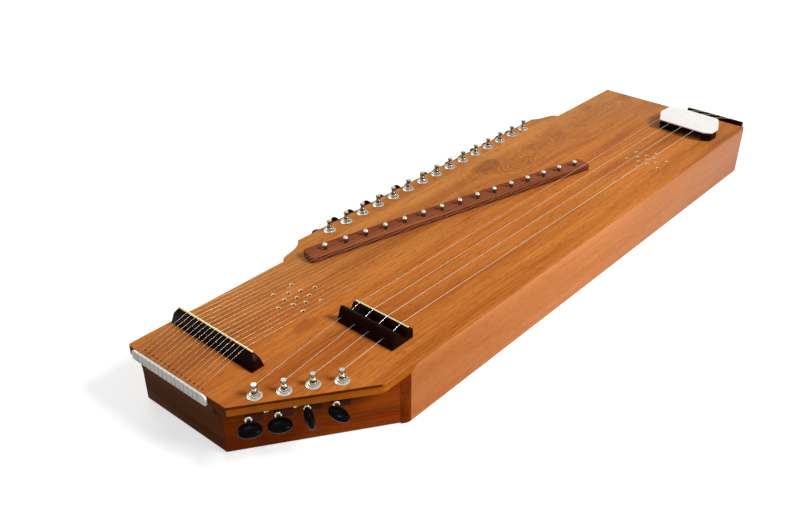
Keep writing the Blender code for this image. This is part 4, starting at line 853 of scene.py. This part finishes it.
def rod(name, node, bridge, x, inset, height):
    """A brass rod with rounded ends, lying along Y on a bridge."""
    low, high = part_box(bridge)
    length, radius = high.y - low.y - 2 * inset, ROD_D / 2
    bar = lathe([(0, 0), (radius * 0.7, 0), (radius, 0.0004), (radius, length - 0.0004),
                 (radius * 0.7, length), (0, length)], 16)
    place = at((x, low.y + inset, TOP_Z + height + SEAT + radius))
    piece(name, moved(bar, place @ Matrix.Rotation(-math.pi / 2, 4, "X")),
          ["brass_rod"], [node])


class SWARMANDAL_OT_melody_bridge(bpy.types.Operator):
    """Model the tall blackwood bridge and its brass rod"""

    bl_idname = "swarmandal.melody_bridge"
    bl_label = "Melody Bridge"

    def execute(self, context):
        bridge = copy_of("melody_bridge")
        soften(bridge, ROUND["melody_bridge"], 3, 12)
        piece("melody_bridge_wood", bridge, ["polished_blackwood"],
              ["melody_bridge"])
        rod("melody_rod", "melody_strings", "melody_bridge", BRIDGE_X, 0.0059, BRIDGE_TOP_Z)
        return {"FINISHED"}


class SWARMANDAL_OT_drone_nut(bpy.types.Operator):
    """Model the drone nut with its ridge, channel and brass rod"""

    bl_idname = "swarmandal.drone_nut"
    bl_label = "Drone Nut"

    def execute(self, context):
        nut = copy_of("drone_nut")
        soften(nut, ROUND["drone_nut"], 3, 14, longer=0.0018)
        piece("drone_nut_wood", nut, ["polished_blackwood"], ["drone_nut"])
        rod("drone_rod", "drone_strings", "drone_nut", NUT_ROD_X, 0.002, NUT_REAR_Z)
        return {"FINISHED"}


class SWARMANDAL_OT_pin_bar(bpy.types.Operator):
    """Model the slanted bar with its moulded front and the turned studs"""

    bl_idname = "swarmandal.pin_bar"
    bl_label = "Pin Bar And Studs"

    def execute(self, context):
        start = -BAR_LEFT_OVER
        end = STUD_STEP.length * (MELODY_COUNT - 1) + BAR_RIGHT_OVER
        corners = ((start, -BAR_FRONT), (end, -BAR_FRONT), (end, BAR_BACK), (start, BAR_BACK))
        bar = slab(corners, SEAT, BAR_H)
        for corner, radius in zip(corners, BAR_ROUNDS):
            round_upright(bar, corner, radius, 5)
        soften(bar, ROUND["pin_bar"], 3, 60, lambda place: place.z > BAR_H - TINY)
        coves, face = bmesh.new(), -BAR_FRONT
        along = Matrix(((0, 0, 1, 0), (1, 0, 0, 0), (0, 1, 0, 0), (0, 0, 0, 1)))
        for height, depth in BAR_COVES:
            cove = slab([(face - 0.001, height - 0.0012), (face + depth, height - 0.0004),
                         (face + depth, height + 0.0004), (face - 0.001, height + 0.0012)],
                        start - 0.01, end + 0.01)
            stamp(coves, cove, along)
        # Painted shade: the coves' faces get a dark brown for the shade in them.
        mesh = carved(mesh_of(bar, ["oiled_bar"]), coves, "stained_cove")
        mesh.transform(at((*STUD_FIRST, TOP_Z)) @ Matrix.Rotation(BAR_ANGLE, 4, "Z"))
        piece("pin_bar_wood", mesh, nodes=["pin_bar"])
        ball, waist, foot = context.scene.swarmandal.stud_d / 2, STUD_WAIST_D / 2, STUD_FOOT_D / 2
        middle = STUD_H - ball * 0.92
        profile = [(0, -0.0002), (foot, -0.0002), (foot, 0.0005), (foot - 0.0003, 0.0009),
                   (waist, 0.0019)]
        profile += [around((0, middle), ball, math.radians(90 * step / 8 - 50 * (8 - step) / 8))
                    for step in range(8)]
        stud, studs = lathe([*profile, (0, STUD_H)]), bmesh.new()
        # Painted shade: the ball's lower half is shaded nickel, and the waist and foot under it
        # are dark steel, for the shade under the ball.
        paint(stud, 1, lambda centre, normal: centre.z < middle + 0.0002)
        paint(stud, 2, lambda centre, normal: centre.z < STUD_WAIST_Z)
        for k in range(MELODY_COUNT):
            stamp(studs, stud, at((*(STUD_FIRST + STUD_STEP * k), TOP_Z + BAR_H)))
        piece("bar_studs", studs, ["nickel_plate", "worn_nickel", "dark_pin_steel"],
              sharp=50)
        return {"FINISHED"}


class SWARMANDAL_OT_flat_bridge(bpy.types.Operator):
    """Model the bone plate of the flat bridge and the arched table under it"""

    bl_idname = "swarmandal.flat_bridge"
    bl_label = "Flat Bridge"

    def execute(self, context):
        plate = copy_of("jawari_plate")
        corners = [edge for edge, _ in uprights(plate) if edge.calc_face_angle(0) > 0.2]
        bevel(plate, corners, ROUND["plate_corner"], 4)
        soften(plate, ROUND["plate"], 3, 60,
               lambda place: place.z > TOP_Z + JAWARI_Z - 0.0011)
        piece("flat_bridge_plate", plate, ["polished_bone"], ["jawari_plate"])
        table = copy_of("jawari_base")
        soften(table, ROUND["table"], 2, 50)
        piece("flat_bridge_table", table, ["polished_blackwood"], ["jawari_base"])
        return {"FINISHED"}


class SWARMANDAL_OT_tailpiece(bpy.types.Operator):
    """Model the blackwood tailpiece and its pins"""

    bl_idname = "swarmandal.tailpiece"
    bl_label = "Tailpiece"

    def execute(self, context):
        tail = copy_of("tailpiece")
        paint(tail, 1, lambda centre, normal: centre.x > TAIL_FACE_X + TINY)
        soften(tail, ROUND["tailpiece"], 2, 50, lambda place: place.x < TAIL_FACE_X + TINY,
               0.002)
        piece("tailpiece_wood", tail, ["polished_blackwood", "nickel_plate"],
              ["tailpiece"])
        return {"FINISHED"}


# Strings
def wire_piece(name, node, points, radius, kind):
    """A string as a wire with closed ends along a line of points."""
    curve = bpy.data.curves.new("wire", "CURVE")
    curve.dimensions, curve.use_fill_caps = "3D", True
    curve.bevel_depth, curve.bevel_resolution = radius, 1
    spline = curve.splines.new("POLY")
    spline.points.add(len(points) - 1)
    for point, where in zip(spline.points, points):
        point.co = (*where, 1.0)
    mesh = result_of(placed("wire", curve))
    mesh.materials.clear()
    mesh.materials.append(finish(kind))
    mesh.shade_smooth()
    piece(name, mesh, nodes=[node])


def hooked(x, y, z, ring, climb, start, turn, steps):
    """Points of a loop round a pin along X, from the wire's end to where it leaves the pin."""
    shares = [1 - step / steps for step in range(steps + 1)]
    return [(x + climb * share, *around((y, z), ring, start + turn * share)) for share in shares]


def wound(centre, ring, start, turn, low, high, steps):
    """Points of an arc round an upright post, from one height to another."""
    return [(*around(centre, ring, start + turn * step / steps), low + (high - low) * step / steps)
            for step in range(steps + 1)]


def meeting(post, coming_from, ring):
    """The angle on a post's ring at which a string from some spot first touches it."""
    inward = post - coming_from
    return math.atan2(inward.y, inward.x) - math.asin(ring / inward.length) - math.pi / 2


def on_post(post, coming_from, wire):
    """Windings that leave the straight string and lie down the post's waist."""
    ring, top = POST_WAIST_D / 2 + wire, TOP_Z + POST_WAIST_Z
    return wound(post, ring, meeting(post, coming_from, ring), WINDINGS * 2 * math.pi, top,
                 top - WINDINGS * wire * WINDING_PITCH, int(WINDINGS * WINDING_STEPS))


def melody_line(number, strip_y, bridge_y, post, wire):
    """The way of a melody string from its hitch pin to its post."""
    off, edge, rim = wire + WIRE_GAP, edge_x(strip_y), TOP_Z + STRIP_RISE
    pin = Vector((edge + HITCH_LOOP_IN, strip_y, TOP_Z - HITCH_DROP))
    outside, loop = edge - SEAT - STRIP_T - wire * 0.5, HITCH_D / 2 + off
    ring = STUD_WAIST_D / 2 + off
    rod_z, waist = TOP_Z + BRIDGE_TOP_Z + SEAT + ROD_D + wire, TOP_Z + BAR_H + STUD_WAIST_Z
    stud = STUD_FIRST + STUD_STEP * number
    outward = post - stud
    first = meeting(stud, Vector((BRIDGE_X, bridge_y)), ring)
    lead = math.asin((ring - POST_WAIST_D / 2 - wire) / outward.length)
    turn = math.atan2(outward.y, outward.x) + lead - first - math.pi / 2
    return [
        *hooked(*pin, loop, -LOOP_CLIMB, *HITCH_LOOP, 12),
        (outside, strip_y + loop * 0.6, rim - STRIP_H - 0.0004),
        (outside, strip_y, rim + off - 0.0012), (outside + 0.0002, strip_y, rim + off - 0.0005),
        (outside + 0.0006, strip_y, rim + off),
        (BRIDGE_X - ROD_SPAN, bridge_y, rod_z), (BRIDGE_X + ROD_SPAN, bridge_y, rod_z),
        *wound(stud, ring, first, turn, waist, waist, 10), *on_post(post, stud, wire)]


def drone_line(number, post, wire):
    """The way of a drone string from its tail pin to its post."""
    off = wire + WIRE_GAP
    nut_y, jawari_y, tail_y = (first - pitch * number for first, pitch in (
        (NUT_FIRST_Y, NUT_PITCH), (JAWARI_FIRST_Y, JAWARI_PITCH), (TAIL_FIRST_Y, TAIL_PITCH)))
    reach, loop = TAIL_ROUND + off, TAIL_PIN_D / 2 + off
    round_x, round_z = TAIL_FACE_X - TAIL_ROUND, TOP_Z + TAIL_RISE - TAIL_ROUND
    points = hooked(round_x + reach, tail_y - loop, TOP_Z - TAIL_PIN_DROP, loop, LOOP_CLIMB,
                    *TAIL_LOOP, 14)
    for step in range(8):
        x, z = around((round_x, round_z), reach, math.pi / 2 * step / 7.8)
        points.append((x, tail_y, z))
    half = JAWARI_W / 2 - math.tan(JAWARI_TURN) * (jawari_y - JAWARI_Y)
    for share in (1.0, 0.5, 0.0):
        points.append((JAWARI_X + share * half, jawari_y,
                       TOP_Z + JAWARI_Z + off + 0.0001 - JAWARI_CROWN * share * share))
    rod_z, hole_y = TOP_Z + NUT_REAR_Z + SEAT + ROD_D + wire, nut_y + NUT_HOLE_SHIFT
    leave = Vector((NUT_X - NUT_DEPTH - 0.002, hole_y))
    return [*points, (NUT_ROD_X + ROD_SPAN, nut_y, rod_z), (NUT_ROD_X - ROD_SPAN, nut_y, rod_z),
            (NUT_CHANNEL_START - 0.0005, hole_y, TOP_Z + NUT_HOLE_Z),
            (*leave, TOP_Z + NUT_HOLE_Z), *on_post(post, leave, wire)]


class SWARMANDAL_OT_strings(bpy.types.Operator):
    """Model the melody and drone strings with their windings and loops"""

    bl_idname = "swarmandal.strings"
    bl_label = "Strings"

    def execute(self, context):
        look = context.scene.swarmandal
        spots = {name: spot for name, spot, _ in tuners()}
        wire = look.melody_d / 2
        for k, (strip_y, bridge_y) in enumerate(string_lines()):
            points = melody_line(k, strip_y, bridge_y, spots[f"wing_{k + 1}"], wire)
            wire_piece(f"melody_string_{k + 1}", "melody_strings", points, wire, "drawn_steel")
        for k in range(DRONE_COUNT):
            wire = (look.drone_d + look.drone_step * k) / 2
            points = drone_line(k, spots[f"front_{k + 1}"], wire)
            wire_piece(f"drone_string_{k + 1}", "drone_strings", points, wire, "polished_steel")
        return {"FINISHED"}


# Tuners
def case_mesh(washer):
    """A tuner's body: cast case with ear and screws, sleeve, washer and hex bushing."""
    under, post = CASE_UNDER, POST_D / 2 + RUNNING
    wheel, worm = WHEEL_D / 2 + RUNNING, KEY_D / 2 + RUNNING
    case = block((CASE_BACK, CASE_FAR, CASE_LOW), (CASE_FRONT, CASE_NEAR, under))
    soften(case, ROUND["case"], 3, 60, lambda place: place.z < under - TINY, match=any)
    room = bar_of(wheel, under - KEY_DROP - WHEEL_H / 2 - RUNNING, under - 0.0013)
    bore = bar_of(worm, -0.005, CASE_FRONT + 0.004)
    moved(bore, at((0, -WORM_OFFSET, under - KEY_DROP)) @ Matrix.Rotation(math.pi / 2, 4, "Y"))
    # Painted shadow: the case's dark brown matches the shade under the plank, where it hangs.
    case = mesh_of(case, ["brown_enamel"])
    for hollow in (room, bore):
        case = carved(case, hollow, "brown_enamel")
    shell = mesh_of(lathe([
        (0, under - 0.0005), (SLEEVE_R, under - 0.0005), (SLEEVE_R, 0.0001),
        (washer - 0.0002, 0.0001), (washer, 0.0003), (washer - 0.0001, 0.0006),
        (washer - 0.0009, 0.00075), (0.0060, 0.00125), (0.0055, 0.0014), (0, 0.0014)], 32),
        ["nickel_plate"])
    hexagon, corner = bmesh.new(), HEX_FLAT / 2 / math.cos(math.pi / 6)
    bmesh.ops.create_cone(hexagon, cap_ends=True, segments=6, radius1=corner, radius2=corner,
                          depth=HEX_H, matrix=at((0, 0, HEX_LOW + HEX_H / 2)))
    soften(hexagon, ROUND["bushing"], 2, 50)
    ring = lathe([(0, 0.0026), (0.0041, 0.0026), (0.0039, 0.0040), (0.0036, 0.0044), (0, 0.0044)],
                 24)
    for part in (hexagon, ring):
        shell = combined("UNION", shell, part, ["nickel_plate"])
    shell = carved(shell, bar_of(post, under - 0.002, 0.02), "nickel_plate")
    whole = bmesh.new()
    stamp(whole, case, index=1)
    stamp(whole, shell, index=0)
    # Painted shade: the sides of the bushing's top collar get the shaded nickel.
    paint(whole, 2, lambda centre, normal: centre.z > 0.0032 and normal.z < 0.5)
    sides = (EAR_X - EAR_HALF, EAR_X + EAR_HALF)
    ear = slab([*((x, CASE_NEAR - SUNK) for x in sides), (sides[1], EAR_Y),
                (sides[1] - EAR_CUT, EAR_END), (sides[0] + EAR_CUT, EAR_END), (sides[0], EAR_Y)],
               under - EAR_T, under)
    soften(ear, ROUND["ear"], 2, 60)
    head = lathe([(0, -0.0011), (0.0012, -0.0010), (0.0019, -0.0003), (0.0019, 0), (0, 0)], 16)
    stamp(whole, ear, index=0)
    for place in ((EAR_X, EAR_Y, under - EAR_T), (0.0, -0.0026, CASE_LOW)):
        stamp(whole, head, at(place))
    return mesh_of(whole, ("nickel_plate", "brown_enamel", "worn_nickel"))


def at_each_tuner(template, label, stands):
    """Makes a piece of each tuner from a mesh; the last argument gives, for its name, post
    and direction, the matrix, the node and the body."""
    for tuner in tuners():
        mesh = template.copy()
        matrix, node, body = stands(*tuner)
        mesh.transform(matrix)
        piece(label + tuner[0], mesh, nodes=[node], body=body)
    bpy.data.meshes.remove(template)


class SWARMANDAL_OT_tuner_bodies(bpy.types.Operator):
    """Model the tuners' cases, washers and bushings"""

    bl_idname = "swarmandal.tuner_bodies"
    bl_label = "Tuner Bodies"

    def execute(self, context):
        def stands(name, spot, out):
            row, number = name.split("_")
            node = "tuner_body_" + number if row == "front" else "wing_plank"
            return tuner_frame(spot, out), node, BODY
        washer = context.scene.swarmandal.washer_d / 2
        at_each_tuner(case_mesh(washer), "tuner_case_", stands)
        return {"FINISHED"}


class SWARMANDAL_OT_posts(bpy.types.Operator):
    """Model the turned string posts"""

    bl_idname = "swarmandal.posts"
    bl_label = "Posts"

    def execute(self, context):
        post, waist, cap, wheel = POST_D / 2, POST_WAIST_D / 2, POST_CAP_D / 2, WHEEL_D / 2
        foot, middle = CASE_UNDER - KEY_DROP - WHEEL_H / 2, POST_WAIST_Z
        profile = [(0, foot), (wheel, foot), (wheel, foot + WHEEL_H), (post, foot + WHEEL_H),
                   (post, middle - 0.0024), (waist + 0.0002, middle - 0.0017),
                   (waist, middle - 0.0010), (waist, middle + 0.0008),
                   (cap - 0.0003, POST_RISE - POST_CAP_H - 0.0003), (cap, POST_RISE - POST_CAP_H),
                   (cap, POST_RISE - 0.0006), (cap - 0.0005, POST_RISE), (0, POST_RISE)]
        turned = lathe(profile, 24)
        # Painted highlight and shade: only the cap's top is bright nickel, and the rest of the
        # post is shaded nickel.
        paint(turned, 1, lambda centre, normal: centre.z > POST_RISE - 0.0003)
        at_each_tuner(
            mesh_of(turned, ["worn_nickel", "nickel_plate"], 40), "turned_post_",
            lambda name, spot, out: (tuner_frame(spot, out), "post_" + name, "post_" + name))
        return {"FINISHED"}


class SWARMANDAL_OT_keys(bpy.types.Operator):
    """Model the keys: shaft, collar and oval button"""

    bl_idname = "swarmandal.keys"
    bl_label = "Keys"

    def execute(self, context):
        shaft, face = KEY_D / 2, CASE_FRONT + RUNNING
        neck, collar_end, end = shaft * 0.92, face + COLLAR_T, face + COLLAR_T + NECK_L
        key, grip = bmesh.new(), bmesh.new()
        stamp(key, lathe([
            (0, -0.0047), (shaft, -0.0047), (shaft, face), (0.0033, face), (0.0035, face + 0.0003),
            (0.0035, collar_end - 0.0006), (0.0029, collar_end), (neck, collar_end),
            (neck, end - 0.0006), (0.0028, end - 0.0003), (0.0028, end + SUNK), (0, end + SUNK)]),
            index=0)
        bmesh.ops.create_uvsphere(grip, u_segments=32, v_segments=20, radius=1.0)
        for vert in grip.verts:
            height = (vert.co.z + 1) / 2
            vert.co.x *= BUTTON_T / 2 * (1.0 - BUTTON_THIN * (1 - height) ** 4)
            vert.co.y *= BUTTON_W / 2 * (1.0 - BUTTON_NARROW * (1 - height) ** 2)
            rounded = (1 - math.cos(math.pi * height)) / 2
            vert.co.z = end + BUTTON_L * (BUTTON_ROUND * rounded + (1 - BUTTON_ROUND) * height)
        stamp(key, grip, index=1)
        at_each_tuner(
            mesh_of(key, ["nickel_plate", "moulded_black"], 40), "turned_key_",
            lambda name, spot, out: (key_frame(name, out), "key_" + name, "key_" + name))
        return {"FINISHED"}


# Stage
def aimed(thing, place, ahead):
    """Puts a light or the camera at a place, looking ahead."""
    thing.location = place
    thing.rotation_euler = ahead.to_track_quat("-Z", "Y").to_euler()


def backdrop(owner, light, plain, output):
    """Shows the plain shader to camera, glossy and transmission rays, and to all others the
    light; each is given as a function that adds it to the tree."""
    owner.use_nodes = True
    tree = owner.node_tree
    tree.nodes.clear()
    rays = add(tree, "LightPath").outputs
    seen = maths(tree, "MAXIMUM", rays["Is Camera Ray"], rays["Is Glossy Ray"])
    seen = maths(tree, "MAXIMUM", seen, rays["Is Transmission Ray"])
    mixed = add(tree, "MixShader", {}, {0: seen, 1: light(tree), 2: plain(tree)})
    add(tree, output, {}, {"Surface": mixed.outputs[0]})


def paper(tree, shade):
    """Dull paper of a grey between black and white."""
    return add(tree, "BsdfDiffuse", {}, {"Color": opaque((shade,) * 3)}).outputs[0]


def white_light(tree, kind, strength):
    """A white shader that gives off light."""
    return add(tree, kind, {}, {"Color": (1, 1, 1, 1), "Strength": strength}).outputs[0]


class SWARMANDAL_OT_stage(bpy.types.Operator):
    """Set the pale floor, the soft lights and the camera"""

    bl_idname = "swarmandal.stage"
    bl_label = "Stage"

    def execute(self, context):
        scene, floor = context.scene, bmesh.new()
        bmesh.ops.create_grid(floor, x_segments=1, y_segments=1, size=FLOOR_REACH,
                              matrix=at((0, 0, -FLOOR_DROP)))
        ground = placed("studio_floor", mesh_of(floor, ()))
        mat = bpy.data.materials.new("white_paper_floor")
        ground.data.materials.append(mat)
        backdrop(mat, lambda tree: paper(tree, FLOOR_LIT), lambda tree: add(
            tree, "AddShader", {}, {0: paper(tree, FLOOR_SEEN),
                                    1: white_light(tree, "Emission", FLOOR_GLOW)}).outputs[0],
                 "OutputMaterial")
        scene.world = bpy.data.worlds.new("white_studio")
        backdrop(scene.world, lambda tree: white_light(tree, "Background", SKY_LIGHT),
                 lambda tree: white_light(tree, "Background", 1.0), "OutputWorld")
        for name, (place, target, size, power) in LIGHTS.items():
            lamp = bpy.data.lights.new(name, "AREA")
            lamp.shape, lamp.size, lamp.energy = "DISK", size, power
            aimed(placed(name, lamp), place, Vector(target) - Vector(place))
        scene.camera = placed("camera", bpy.data.cameras.new("camera"))
        level = math.cos(CAMERA_PITCH)
        aimed(scene.camera, CAMERA_PLACE, Vector((
            level * math.cos(CAMERA_YAW), level * math.sin(CAMERA_YAW), -math.sin(CAMERA_PITCH))))
        lens = scene.camera.data
        lens.sensor_width, lens.lens = SENSOR, FOCAL_PIXELS * SENSOR / IMAGE_WIDTH
        lens.clip_start, lens.clip_end = CLIP_NEAR, CLIP_FAR
        scene.view_settings.view_transform = "Standard"
        return {"FINISHED"}


class SWARMANDAL_PT_panel(bpy.types.Panel):
    """Lists the pieces in the order in which they are made"""

    bl_idname = "SWARMANDAL_PT_panel"
    bl_label = "Swarmandal"
    bl_space_type = "VIEW_3D"
    bl_region_type = "UI"
    bl_category = "Swarmandal"

    def draw(self, context):
        column = self.layout.column()
        for operator in OPERATORS:
            column.operator(operator.bl_idname)
        for name in SwarmandalSettings.__annotations__:
            column.prop(context.scene.swarmandal, name)


OPERATORS = (
    SWARMANDAL_OT_stage,
    SWARMANDAL_OT_sound_board,
    SWARMANDAL_OT_planks,
    SWARMANDAL_OT_walls,
    SWARMANDAL_OT_edge_strip,
    SWARMANDAL_OT_melody_bridge,
    SWARMANDAL_OT_drone_nut,
    SWARMANDAL_OT_pin_bar,
    SWARMANDAL_OT_flat_bridge,
    SWARMANDAL_OT_tailpiece,
    SWARMANDAL_OT_strings,
    SWARMANDAL_OT_tuner_bodies,
    SWARMANDAL_OT_posts,
    SWARMANDAL_OT_keys,
)


def register():
    bpy.utils.register_class(SwarmandalSettings)
    bpy.types.Scene.swarmandal = PointerProperty(type=SwarmandalSettings)
    for operator in OPERATORS:
        bpy.utils.register_class(operator)
    bpy.utils.register_class(SWARMANDAL_PT_panel)


def unregister():
    bpy.utils.unregister_class(SWARMANDAL_PT_panel)
    for operator in reversed(OPERATORS):
        bpy.utils.unregister_class(operator)
    del bpy.types.Scene.swarmandal
    bpy.utils.unregister_class(SwarmandalSettings)


def main():
    register()
    bpy.ops.swarmandal.stage()
    bpy.ops.swarmandal.sound_board()
    bpy.ops.swarmandal.planks()
    bpy.ops.swarmandal.walls()
    bpy.ops.swarmandal.edge_strip()
    bpy.ops.swarmandal.melody_bridge()
    bpy.ops.swarmandal.drone_nut()
    bpy.ops.swarmandal.pin_bar()
    bpy.ops.swarmandal.flat_bridge()
    bpy.ops.swarmandal.tailpiece()
    bpy.ops.swarmandal.strings()
    bpy.ops.swarmandal.tuner_bodies()
    bpy.ops.swarmandal.posts()
    bpy.ops.swarmandal.keys()


if __name__ == "__main__":
    main()
